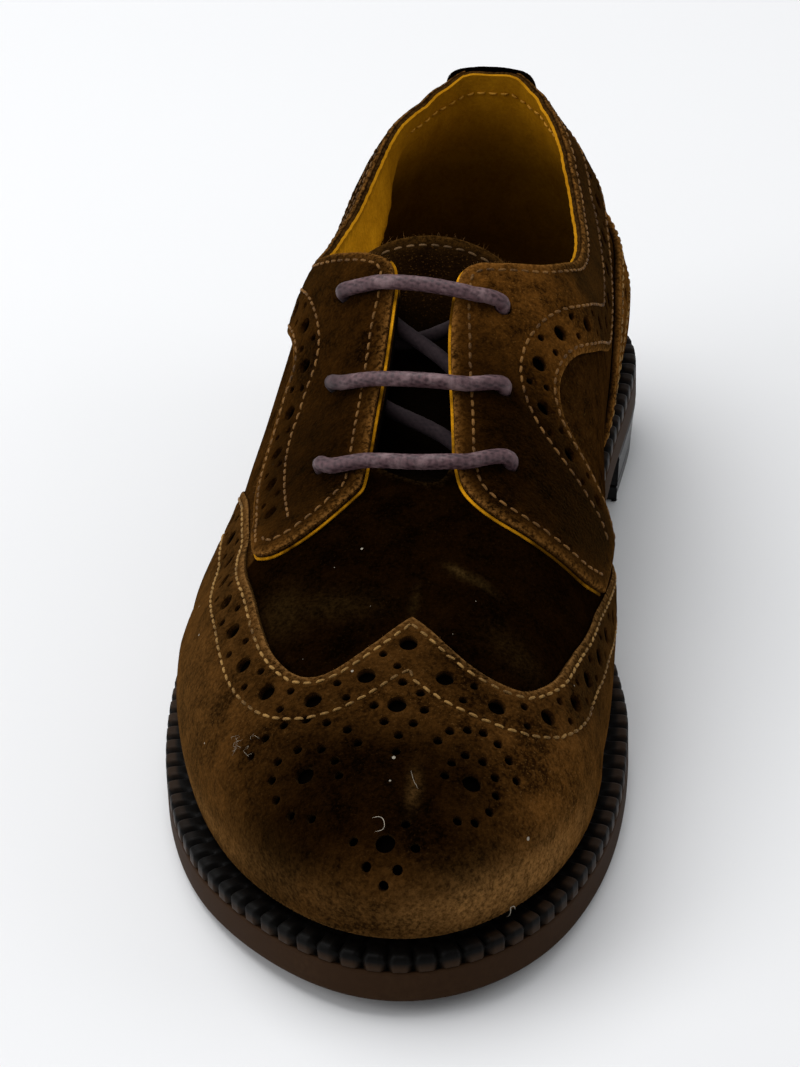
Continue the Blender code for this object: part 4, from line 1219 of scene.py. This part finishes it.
def makeShell():
    outer = footOf(rayRing(90))
    edge = evenRun(outer, 1.2, closed=True)
    opening = openingOutline()
    eyelets = [roundHole(c, facing["eyelet"]) for c in patterns["eyeletsLateral"] + patterns["eyeletsMedial"]]
    pitch = shell["pitch"]
    grid = netOver(edge, pitch, pitch * 0.866)
    grid = grid[insideOf(grid, edge) & ~insideOf(grid, opening)]
    rims = np.vstack([edge, opening] + eyelets)
    grid = grid[distanceTo(grid, rims) > 0.6 * pitch]

    def keep(centres):
        use = insideOf(centres, edge) & ~insideOf(centres, opening)
        for hoop in eyelets:
            use &= ~insideOf(centres, hoop)
        return use

    flat, faces = fillOutline([edge, opening] + eyelets, grid, keep)
    count = len(flat)
    place, up = placeOf(flat), upright(flat)
    toOpening = distanceTo(place, placeOf(opening))
    shade = coveredBy(flat)
    thin = nearCollar(flat)
    between = partWay(shell["between"], shell["thinBetween"], thin)
    within = partWay(shell["inner"], shell["thinInner"], thin)
    onVamp = insideOf(flat, np.array(shell["vamp"], float))
    # painted shade: black under the sewn pieces, dim on the vamp and the covered upper; the scuffs are real wear
    marks = {"shade": np.concatenate([shade, np.zeros(count)]), "worn": np.tile(scuffMask(flat), 2),
             "edge": np.tile(shell["rawEdge"] * ramp(1 - toOpening), 2),
             "dim": np.tile(np.where(onVamp, shell["vampShade"], shell["coveredShade"]), 2)}
    outer = place + up * (shell["outer"] + creaseLift(place))[:, None]
    skin = closeSheet("upperSuede", outer, place + up * between[:, None], faces, suede["vamp"], marks)
    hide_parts("upper")
    # pale lining at the collar, a darker grip lower down, and painted shade on the back and medial walls, on the rim
    # and deeper inside
    medial = ramp(flat[:, 0] / 8)
    begin = readSides(lined["pale"], place[:, 1], medial)
    depth = ramp((toOpening - begin) / readRows(lined["pale"], 3, place[:, 1]))
    dim = partWay(readSides(lined["dim"], place[:, 1], medial), lined["darkest"], eased(depth))
    dim = np.maximum(dim, 0.55 * ramp(1 - toOpening / 0.6)) + 0.08 * ramp((toOpening - 24) / 14)
    # painted shade blackens the lining's edge beside the gap
    gapShade = ramp(1.6 - toOpening) * ramp((flat[:, 1] - 92) / 4)
    bead = lined["bead"] * bell((toOpening - lined["beadAt"]) / 0.8)
    swell = ramp(toOpening / lined["padPeak"])
    swell = swell * ramp((lined["padEnd"] - toOpening) / (lined["padEnd"] - lined["padPeak"]))
    pad = readSides(lined["pad"], flat[:, 1], medial)
    inner = place + up * (within + bead - pad * swell**1.2)[:, None]
    marks = {"dim": np.tile(dim, 2), "shade": np.tile(gapShade, 2)}
    back = place + up * (between - 0.05)[:, None]
    cloth = closeSheet("liningLeather", back, inner, faces, lining["collar"], marks)
    collar = joined(runs["toplineLateral"][:-60][::-1], runs["backEdge"], runs["toplineMedial"][:-60])
    even = evenRun(sideStep(evenRun(collar, 0.8), lined["rowAt"]), lined["rowPitch"])
    begin, ahead = even[:-1], partWay(even[:-1], even[1:], lined["rowShare"])
    depth = partWay(shell["inner"], shell["thinInner"], nearCollar(begin)) + lined["rowLift"]
    stitches["gold"].append((lifted(begin, depth), lifted(ahead, depth), -upright(begin)))
    print("shell", len(skin.data.polygons), "faces")


makeShell()


# the lining's cut edge shows as a thin line beside the gap and the facings' fronts
liningEdge = {"out": 0.42, "in": 1.2, "low": 0.08, "high": 0.36, "tone": 0.52, "ripple": 0.25}


def makeLiningEdge(side):
    name = sideNames[side]
    run = evenRun(np.vstack([runs["topline" + name][-14:-1], runs["gap" + name], runs["front" + name][1:]]), 0.6)
    out, within, low, high = (liningEdge[key] for key in ("out", "in", "low", "high"))
    rails = ((-out, low), (-out, high - 0.08), (-out + 0.12, high), (within, high), (within, low))
    points = np.array([lifted(sideStep(run, side * step), lift) for step, lift in rails])
    n, m = points.shape[:2]
    ripple = np.convolve(rng.normal(0, 1, m + 8), np.ones(9) / 3, mode="valid")
    # painted shade dims the edge in random stretches and towards its medial end
    tone = liningEdge["tone"] + liningEdge["ripple"] * ripple + 0.4 * ramp((run[:, 0] - 26) / 8)
    faces = []
    for k in range(n):
        for j in range(m - 1):
            quad = (k * m + j, k * m + j + 1, (k + 1) % n * m + j + 1, (k + 1) % n * m + j)
            faces.append(quad if side < 0 else quad[::-1])
    ends = [tuple(k * m for k in range(n)), tuple(k * m + m - 1 for k in range(n))]
    faces += [ends[0] if side < 0 else ends[0][::-1], ends[1][::-1] if side < 0 else ends[1]]
    piece = addPiece("liningEdge" + name, points.reshape(-1, 3), faces, lining["collar"],
                     {"dim": np.tile(np.clip(tone, 0, 0.93), n), "shade": np.zeros(n * m)}, 40)


makeLiningEdge(-1)
makeLiningEdge(1)


# tongue
tongue = {"drop": 10.6, "topDrop": 9.6, "crown": 24.0, "middle": -1.0, "thick": 2.2, "row": 2.3, "rootDrop": 2.5,
          "pitch": 1.2, "rowPitch": 1.04, "seamPitch": 2.2, "seam": 1.6, "seamEnd": 112, "groove": 0.22, "ripple": 0.25,
          "edge": [(-15.2, 80), (-14, 76), (-9, 74.2), (0, 73.6), (9, 74), (13.6, 75.8), (15.5, 80), (16, 92),
                   (16.5, 110), (17, 128), (14, 141), (4, 144), (-4, 142), (-7, 132), (-9, 123), (-13, 110),
                   (-14.5, 92)]}


def tonguePlace(flat, extra):
    rows = np.array([(0, tongue["topDrop"]), (82, tongue["topDrop"]), (97, tongue["drop"]), (119, tongue["drop"]),
                     (137, tongue["rootDrop"]), (150, tongue["rootDrop"])])
    across, along = flat.T
    drop = readRows(rows, 1, along) + (across - tongue["middle"]) ** 2 / (2 * tongue["crown"])
    middle = swingIn(along) + readRows(last["crest"], 2, along)
    return np.column_stack([across + middle, along, crestHeight(along) - drop - extra])


def makeTongue():
    edge = evenLoop(smoothRun(tongue["edge"] + tongue["edge"][:1])[:-1], 240)
    grid = netOver(edge, tongue["pitch"], tongue["rowPitch"])
    normal = outward(edge)
    soft = np.vstack([edge - normal * 0.35, edge - normal * 0.8])
    grid = grid[insideOf(grid, edge - normal * 1.4)]
    flat, faces = fillOutline([edge], np.vstack([soft, grid]), lambda c: insideOf(c, edge))
    toEdge = distanceTo(flat, edge)
    row = evenLoop(edge - normal * tongue["row"], 400)
    groove = tongue["groove"] * bell(distanceTo(flat, row) / 0.5)
    ripple = tongue["ripple"] * np.sin(flat[:, 1] / 5.2 + flat[:, 0] / 11) * ramp(toEdge / 6)
    # painted shade blackens the tongue's far part, down in the gap
    gapShade = ramp((flat[:, 1] - 84) / 12)
    marks = {"edge": np.tile(ramp(1 - toEdge / 1.3), 2), "shade": np.tile(0.95 * gapShade, 2),
             "worn": np.tile(0.3 * ramp(1 - toEdge / 4), 2)}
    dip = 0.35 * ramp(1 - toEdge / 0.8) ** 2
    top = tonguePlace(flat, 0.05 + dip + groove - ripple)
    under = tonguePlace(flat, tongue["thick"] - dip - ripple)
    piece = closeSheet("tongueSuede", top, under, faces, suede["tongue"], marks)
    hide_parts("tongue")
    shown = fromGap(row[row[:, 1] < tongue["seamEnd"]])
    far = lengthsAlong(shown)
    at = np.arange(0, far[-1] - tongue["seamPitch"], tongue["seamPitch"])
    begin, ahead = atLengths(at, far, shown), atLengths(at + tongue["seam"], far, shown)
    slope = (begin[:, 0] - tongue["middle"]) / tongue["crown"]
    up = unit(np.column_stack([slope, np.full(len(at), 0.4), np.ones(len(at))]))
    sink = stitchLooks["sink"]
    stitches["dark"].append((tonguePlace(begin, sink), tonguePlace(ahead, sink), up))


makeTongue()


# lace
lace = {"radius": 1.3, "over": 3.05, "under": -3.65, "sag": 0.45, "end": (-10.5, 99.5),
        # how far each bar bows forward
        "bow": [2.4, 5.6, 5.6],
        # across, along, drop below the crest
        "first": [(-7.5, 99, 7.5), (-4, 98.2, 8.3), (0, 96.6, 8.2), (5, 94.8, 6.6)],
        "second": [(-4.5, 97.8, 5.2), (4.5, 102.4, 5.2)], "third": [(-5, 113.4, 6.7), (5, 117, 5.4)],
        "barAt": [9.5, 6.8, 0.8, -5.2, -8.5], "drift": 0.36, "sides": 20, "pitch": 0.24, "strands": 8, "lay": 2.3}


def belowCrest(across, along, drop):
    forward = along + slantAt(along) * across
    sideways = across + swingIn(along) + readRows(last["crest"], 2, along)
    return np.array([sideways, forward, crestHeight(forward) - drop])


def throughEyelet(eyelet, cameFrom, goesTo, upward, drift):
    across, along = eyelet
    under, over = lace["under"], lace["over"]
    rows = np.array([(across + cameFrom * 3.2, along, under), (across + cameFrom * 0.9, along, under + 0.25),
                     (across, along, -1.2), (across, along, 1.2),
                     (across + goesTo * 0.9, along + drift * 0.3, over - 0.25),
                     (across + goesTo * 3.2, along + drift, over)])
    points = lifted(rows[:, :2], rows[:, 2])
    return list(points if upward else points[::-1])


def laceBar(row, ends=(-1, 1)):  # up through the medial eyelet, over the gap, down through the lateral one
    (x0, y0), (x1, y1) = patterns["eyeletsMedial"][row], patterns["eyeletsLateral"][row]
    bow = lace["bow"][row]
    across = np.array(lace["barAt"])
    share = (across - x0) / (x1 - x0)
    along = y0 + (y1 - y0) * share + bow * 4 * share * (1 - share)
    lift = lace["over"] - np.array([0, 0, lace["sag"], 0, 0])
    over = list(lifted(np.stack([across, along], 1), lift))
    drift = lace["drift"] * bow
    return (throughEyelet((x0, y0), ends[0], -1, True, drift) + over
            + throughEyelet((x1, y1), ends[1], 1, False, drift))


def laceRoute():
    route = list(lifted(np.array([lace["end"]]), lace["under"] - 0.4))
    route += [belowCrest(*row) for row in lace["first"]] + laceBar(0)
    route += [belowCrest(*row) for row in lace["second"]] + laceBar(1)
    route += [belowCrest(*row) for row in lace["third"]] + laceBar(2, (-1, 0))[:-1]
    return smoothRun(route, 0.2)


def makeLace():
    route = laceRoute()
    for _ in range(6):  # ease the corners at the eyelets
        route[1:-1] = (route[:-2] + 2 * route[1:-1] + route[2:]) / 4
    far = lengthsAlong(route)
    at = np.arange(0, far[-1], lace["pitch"])
    line = atLengths(at, far, route)
    ahead = unit(np.gradient(line, axis=0))
    side = np.zeros_like(line)
    side[0] = np.cross(ahead[0], (0, 0, 1))
    for k in range(1, len(line)):  # carry the side along without twist
        side[k] = side[k - 1] - ahead[k] * (side[k - 1] @ ahead[k])
        side[k] /= np.linalg.norm(side[k])
    side[0] /= np.linalg.norm(side[0])
    up = np.cross(side, ahead)
    phase = lace["strands"] / 2 * turnsOf(lace["sides"])[None]
    wind = (at / lace["lay"] * math.pi)[:, None]
    over = np.maximum(np.abs(np.cos(phase + wind)), np.abs(np.cos(phase - wind)))
    size = lace["radius"] * (0.955 + 0.05 * over + 0.012 * np.sin(at / 3.1)[:, None])
    points = tubePoints(line, side, up, size, lace["sides"])
    n, m = lace["sides"], len(line)
    j = np.arange(n)
    faces = []
    for k in range(m - 1):
        faces += list(np.column_stack([k * n + j, (k + 1) * n + j, (k + 1) * n + (j + 1) % n, k * n + (j + 1) % n]))
    faces += [list(range(n)), list(range(m * n - 1, (m - 1) * n - 1, -1))]
    depth = crestHeight(line[:, 1]) - line[:, 2]
    shade = np.repeat(0.9 * ramp((depth - 1) / 4), n)
    marks = {"braid": ((over - 0.7) / 0.3).ravel(), "shade": shade}
    piece = addPiece("laceCord", points.reshape(-1, 3), faces, cord, marks, 60)
    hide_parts("lace")
    print("lace", round(far[-1]), "mm")


makeLace()


# welt, outsole, heel and insole
sole = {"thick": 5.4, "gap": 0.3, "weltThick": 3.0, "teeth": 120, "samples": 12, "toothDepth": 1.2, "weltInset": 4.0,
        "notchLean": 0.55, "notchDrop": 0.85, "weltInner": 2.7, "breast": 50.0, "breastBow": 2.5, "insoleThick": 3.7,
        # the three values after the net's pitch paint a highlight on the teeth's tops along the sides
        "netPitch": 6.0, "lightened": 0.8, "crestSheenFrom": 25.0, "crestSheenOver": 8.0,
        # step in from the outer edge, height above the outsole, share of the tooth's depth
        "welt": [(0.5, 0.0, 0.0), (0.12, 0.04, 0.8), (0.0, 0.2, 1.0), (0.0, 0.8, 1.0), (0.0, 1.3, 1.0),
                 (0.0, 1.8, 1.0),
                 (0.08, 2.4, 1.0), (0.35, 2.72, 1.0), (0.9, 2.9, 1.0), (1.5, 2.95, 1.0), (2.1, 2.95, 0.95),
                 (2.8, 2.9, 0.7), (3.5, 2.78, 0.2)],
        # step in from the outer edge, share of the height, rise
        "outsole": [(0.9, 0, 0), (0.35, 0, 0.12), (0.08, 0, 0.5), (0.0, 0, 1.0), (0.0, 0.5, 0), (0.0, 1, -0.4),
                    (0.05, 1, 0.0), (0.25, 1, 0.2), (0.8, 1, 0.22)],
        "heel": [(1.9, 0, 0), (1.35, 0, 0.1), (1.15, 0, 0.45), (0.95, 0, 3.0), (1.25, 0, 3.35), (0.85, 0, 3.7),
                 (0.25, 1, -0.9), (0.1, 1, -0.35), (0.35, 1, 0)],
        "insole": [(0.4, 0, 0), (0.0, 0, 0.4), (0.0, 1, -0.65), (-2.2, 1, -0.6), (-2.2, 1, -0.2), (-1.8, 1, 0)]}


def makeWelt():
    count = sole["teeth"] * sole["samples"]
    edge = evenLoop(soleEdge, count)
    out = outward(edge)
    phase = (np.arange(count) % sole["samples"]) / sole["samples"]
    ridge = 1 - ramp((np.abs(2 * phase - 1) - 0.5) / 0.5) ** 1.2  # wide crests, notches like a V
    inner = evenLoop(featherEdge, count)
    start = np.linalg.norm(inner - edge[0], axis=1).argmin()
    inner = np.roll(inner, -start, 0)
    inner = inner - outward(inner) * sole["weltInset"]
    loops = []
    base = underside(edge[:, 1]) + sole["thick"] + sole["gap"]
    for stepIn, rise, share in sole["welt"]:
        sunk = (1 - ridge) * sole["toothDepth"] * share
        flatPart = ramp(rise / sole["weltThick"])
        spot = edge - out * (stepIn + sunk * (1 - sole["notchLean"] * flatPart))[:, None]
        loops.append(np.column_stack([spot, base + rise - sunk * sole["notchDrop"] * flatPart]))
    baseIn = underside(inner[:, 1]) + sole["thick"] + sole["gap"]
    loops.append(np.column_stack([inner, baseIn + sole["weltInner"]]))
    loops.append(np.column_stack([inner, baseIn]))
    points = np.vstack(loops)
    # the teeth are brown like the outsole at their feet; above, over the top and in the notches, painted shade keeps
    # them black, and a painted highlight lights their crests on top along the sides
    sides = sole["lightened"] * ramp((np.abs(edge[:, 0]) - sole["crestSheenFrom"]) / sole["crestSheenOver"])
    worn = [ramp((1.7 - rise) / 0.8) * ridge**2 + sides * ridge**3 * (0.3 < stepIn < 2)
            for stepIn, rise, _ in sole["welt"]]
    worn += [0 * ridge] * 2
    n = len(loops)
    j = np.arange(count)
    faces = []
    for k in range(n):
        a, b = k * count, (k + 1) % n * count
        faces += list(np.column_stack([a + j, a + (j + 1) % count, b + (j + 1) % count, b + j]))
    piece = addPiece("weltRib", points, orient(points, faces), rubber["welt"], {"rib": np.concatenate(worn)}, 55)
    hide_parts("welt")
    print("welt", len(faces), "faces")


def orient(points, faces):  # turn every face round if the body would be inside out in the frame
    placed = inFrame(points)
    volume = 0.0
    for face in faces:
        a = placed[face[0]]
        for k in range(1, len(face) - 1):
            volume += np.dot(a, np.cross(placed[face[k]], placed[face[k + 1]]))
    return [face[::-1] for face in faces] if volume < 0 else faces


def stackedSolid(name, outline, profile, heights, material):  # loops up the side, with a net over each end
    loops, pitch = [], sole["netPitch"]
    normal = outward(outline)
    count = len(outline)
    for stepIn, share, rise in profile:
        spot = outline - normal * stepIn
        low, high = heights(spot[:, 1])
        loops.append(np.column_stack([spot, low + (high - low) * share + rise]))
    mesh = bmesh.new()
    verts = [[mesh.verts.new(p) for p in inFrame(loop)] for loop in loops]
    for lower, upper in zip(verts, verts[1:]):
        for k in range(count):
            mesh.faces.new((lower[k], lower[(k + 1) % count], upper[(k + 1) % count], upper[k]))
    for loop, (_, share, rise) in ((loops[0], profile[0]), (loops[-1], profile[-1])):
        flatRing = loop[:, :2]
        grid = netOver(flatRing, pitch, pitch, 0)
        grid = grid[insideOf(grid, flatRing)]
        grid = grid[distanceTo(grid, flatRing) > 0.5 * pitch]
        flat, faces = fillOutline([flatRing], grid, lambda c: insideOf(c, flatRing))
        lowZ, highZ = heights(flat[:, 1])
        spots = np.column_stack([flat, lowZ + (highZ - lowZ) * share + rise])
        own = [mesh.verts.new(p) for p in inFrame(spots)]
        for face in faces:
            mesh.faces.new([own[k] for k in face])
    bmesh.ops.remove_doubles(mesh, verts=mesh.verts[:], dist=1e-6)
    bmesh.ops.recalc_face_normals(mesh, faces=mesh.faces[:])
    data = bpy.data.meshes.new(name)
    mesh.to_mesh(data)
    mesh.free()
    return placeMesh(name, data, material, 40)


def makeSole():
    heights = lambda along: (underside(along), underside(along) + sole["thick"])
    piece = stackedSolid("outsoleEdge", soleEdge, sole["outsole"], heights, rubber["outsole"])
    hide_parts("outsole")
    rear = fromGap(soleEdge[soleEdge[:, 1] < sole["breast"]])
    breast = smoothRun([rear[-1], (0, sole["breast"] - sole["breastBow"]), rear[0]], 1.0)
    block = evenLoop(np.vstack([rear, breast[1:-1]]), 220)
    top = last["underside"][0][1] - sole["gap"]
    heights = lambda along: (0 * along, 0 * along + top)
    piece = stackedSolid("heelBlock", block, sole["heel"], heights, rubber["heel"])
    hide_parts("heel")
    board = evenLoop(featherEdge - outward(featherEdge) * (sole["weltInset"] + sole["gap"]), 300)
    seat = sole["thick"] + sole["gap"]
    heights = lambda along: (underside(along) + seat, underside(along) + seat + sole["insoleThick"])
    piece = stackedSolid("insoleLeather", board, sole["insole"], heights, lining["insole"])
    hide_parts("insole")


makeWelt()
makeSole()
for thread, rows in stitches.items():
    sewn = makeStitches(thread + "Stitches", rows, threads[thread + "Thread"])


# lint caught in the nap, and fibres standing out of the cut edges
lint = {"speck": 0.1, "lift": 1.6,
        # radius, run
        "threads": [(0.08, [(35.2, 214.4), (34.4, 209.4), (36.2, 209.6)]),
                    (0.045, [(4.2, 203.4), (5.8, 203.2), (6.4, 204.8), (5, 205.6)]),
                    (0.035, [(9.7, 194.6), (10.3, 196), (11.4, 197.6)])],
        # middle, reach, number of hairs, radius
        "tangle": ((-17.6, 188.6), 0.9, 12, 0.017),
        "capSpecks": [(-2.7, 184.7), (17.7, 175.8), (-17.3, 179), (13.4, 200.2), (3.6, 205.9), (-12.5, 188.6)],
        "vampSpecks": [(-9.2, 153.8), (-2.8, 161.5), (17.2, 155), (13.5, 164.7)]}
fuzz = {"spacing": 0.5, "long": 0.6, "thick": 0.04, "lean": 0.8}


def makeLint():
    points, faces = [], []
    middle, reach, count, thin = lint["tangle"]
    hairs = [(thin, np.array(middle) + rng.normal(0, reach, 2) + np.cumsum(rng.normal(0, 0.55, (4, 2)), 0))
             for _ in range(count)]
    for radius, thread in lint["threads"] + hairs:
        run = smoothRun(thread, 0.35)
        bend = 0.15 * np.sin(np.arange(len(run)) * 0.9)
        line = lifted(run, lint["lift"] + bend)
        up = upright(run)
        side = unit(np.cross(np.gradient(line, axis=0), up))
        k = np.arange(len(run))
        taper = radius * np.clip(np.minimum(k, k[::-1]) / 2, 0.35, 1)
        rings = tubePoints(line, side, up, taper[:, None], 5)
        base = sum(len(p) for p in points)
        points.append(rings.reshape(-1, 3))
        faces += [tuple(base + k for k in face) for face in tubeFaces(len(run), 5)]
    corners = np.array([(1, 0, 0), (0, 1, 0), (-1, 0, 0), (0, -1, 0), (0, 0, 1), (0, 0, -1)], float)
    sides = [(0, 1, 4), (1, 2, 4), (2, 3, 4), (3, 0, 4), (1, 0, 5), (2, 1, 5), (3, 2, 5), (0, 3, 5)]
    for spots, lift in ((lint["capSpecks"], lint["lift"] - 0.25), (lint["vampSpecks"], 0.05)):
        for centre in lifted(np.array(spots, float), lift):
            base = sum(len(p) for p in points)
            points.append(centre + corners * lint["speck"] * rng.uniform(0.6, 1.3, (1, 3)))
            faces += [tuple(base + k for k in face) for face in sides]
    points = np.vstack(points)
    piece = addPiece("lintThreads", points, orient(points, faces), threads["paleLint"])
    print("lint", len(faces), "faces")


def fuzzAlong(run, lift, outSide):  # roots and tips of fibres along an edge
    roots = evenRun(run, fuzz["spacing"])
    roots = roots + rng.normal(0, 0.12, roots.shape)
    base = lifted(roots, lift(roots) - rng.uniform(0.3, 0.7, len(roots)))
    way = unit(placeOf(sideStep(roots, outSide)) - placeOf(roots)) * fuzz["lean"]
    way = way + upright(roots) * rng.uniform(0.0, 0.9, (len(roots), 1)) + rng.normal(0, 0.45, way.shape)
    return base, base + unit(way) * fuzz["long"] * rng.uniform(0.4, 1.25, (len(roots), 1))


def makeFuzz():
    band = lambda spots: partWay(facingLook["high"], facingLook["thinHigh"], nearCollar(spots))
    cap = lambda spots: partWay(wingLook["high"], wingLook["thinHigh"], wingEnds(spots))
    edges = []
    for side, name in sideNames.items():
        top, front, swan = (runs[key + name] for key in ("topline", "front", "swan"))
        edges.append(fuzzAlong(top[top[:, 1] > 84], band, -side))
        inner = np.vstack([runs["gap" + name], front[1:]])
        edges.append(fuzzAlong(inner[np.abs(inner[:, 0]) < 38], band, -side))
        shown = (swan[:, 1] > 101) & (swan[:, 1] < 145) & (swan[:, 0] < 42)
        edges.append(fuzzAlong(swan[shown], band, -side))
    for name in sideNames.values():
        edge = runs["wing" + name]
        edges.append(fuzzAlong(edge[edge[:, 1] > 150], cap, -1))
    rim = smoothRun([spot for spot in tongue["edge"] if spot[1] < 82], 0.3)
    rim = rim[rng.random(len(rim)) < 0.9]
    base = tonguePlace(rim, 0.5 + rng.random(len(rim)))
    lean = rng.normal((0, -0.45, 0.45), 0.35, base.shape)
    edges.append((base, base + lean * rng.uniform(0.5, 1.6, (len(rim), 1))))
    base, tip = (np.vstack([edge[k] for edge in edges]) for k in range(2))
    way = tip - base
    side = unit(np.cross(way, rng.normal(0, 1, way.shape)))
    other = unit(np.cross(way, side))
    corners = [base + fuzz["thick"] * (math.cos(t) * side + math.sin(t) * other) for t in turnsOf(3)]
    points = np.stack(corners + [tip], 1).reshape(-1, 3)
    one = np.array([(0, 1, 3), (1, 2, 3), (2, 0, 3), (2, 1, 0)])
    faces = (one[None] + 4 * np.arange(len(base))[:, None, None]).reshape(-1, 3)
    faces = orient(points, [tuple(face) for face in faces])
    piece = addPiece("edgeFibres", points, faces, threads["fibreNap"])
    print("edge fibres", len(base))


makeLint()
makeFuzz()


# floor, light and camera
studio = {"floor": (0.80, 0.805, 0.815, 1), "world": (0.96, 0.98, 1.0, 1), "worldStrength": 0.42,
          # name, place in metres, aim, size, power
          "lights": [("skyPanel", (-0.3, 0.2, 0.95), (0, 0, 0.03), 0.9, 8.0),
                     ("leftPanel", (-0.85, -0.45, 0.5), (0, -0.02, 0.03), 0.7, 3.4),
                     ("rightPanel", (0.9, 0.1, 0.55), (0, 0, 0.03), 0.6, 1.2)]}


def makeStudio():
    world = bpy.data.worlds.new("studio")
    world.use_nodes = True
    setInputs(world.node_tree.nodes["Background"], {"Color": studio["world"], "Strength": studio["worldStrength"]})
    bpy.context.scene.world = world
    material, tree, principled = startMaterial("paleFloor", Roughness=0.75, Specular_IOR_Level=0.2)
    where = objectSpace(tree)
    soft = noiseNode(tree, where, 3.0, 2.0)
    tint = mixColour(tree, soft, studio["floor"], (0.83, 0.83, 0.84, 1))
    wire(tree, tint, principled.inputs["Base Color"])
    mesh = bpy.data.meshes.new("floor")
    mesh.from_pydata([(-4, -4, 0), (4, -4, 0), (4, 6, 0), (-4, 6, 0)], [], [(0, 1, 2, 3)])
    mesh.materials.append(material)
    floor = newObject("floor", mesh)
    for name, place, aim, size, power in studio["lights"]:
        data = bpy.data.lights.new(name, "AREA")
        data.size = size
        data.energy = power
        lamp = newObject(name, data)
        lamp.location = place
        lamp.rotation_euler = (Vector(aim) - Vector(place)).to_track_quat("-Z", "Y").to_euler()


# the photographed view: place in millimetres, turn and dip in degrees, and the frame's middle on the first picture
eye = {"place": (104.3, 671.7, 363.5), "turn": 6.34, "dip": 27.32, "focal": 2300.0, "middle": (249.0, 664.0),
       "picture": (800.0, 1067.0), "zoom": 1.66}


def makeCamera():
    turn, dip = math.radians(eye["turn"]), math.radians(eye["dip"])
    ahead = Vector((-math.sin(turn) * math.cos(dip), math.cos(turn) * math.cos(dip), -math.sin(dip)))
    right = Vector((math.cos(turn), math.sin(turn), 0))
    up = right.cross(ahead)
    offX = eye["middle"][0] - eye["picture"][0] / 2
    offY = eye["middle"][1] - eye["picture"][1] / 2
    aim = (ahead * eye["focal"] + right * offX - up * offY).normalized()
    level = Matrix((right, up, -ahead)).transposed().to_quaternion()
    data = bpy.data.cameras.new("camera")
    data.sensor_width = 36.0
    data.lens = 36.0 * eye["focal"] * eye["zoom"] / eye["picture"][1]
    data.clip_start, data.clip_end = 0.01, 50.0
    camera = newObject("camera", data)
    camera.location = inFrame([eye["place"]])[0]
    camera.rotation_euler = (ahead.rotation_difference(aim) @ level).to_euler()
    bpy.context.scene.camera = camera


makeStudio()
makeCamera()
bpy.context.scene.view_settings.view_transform = "Standard"
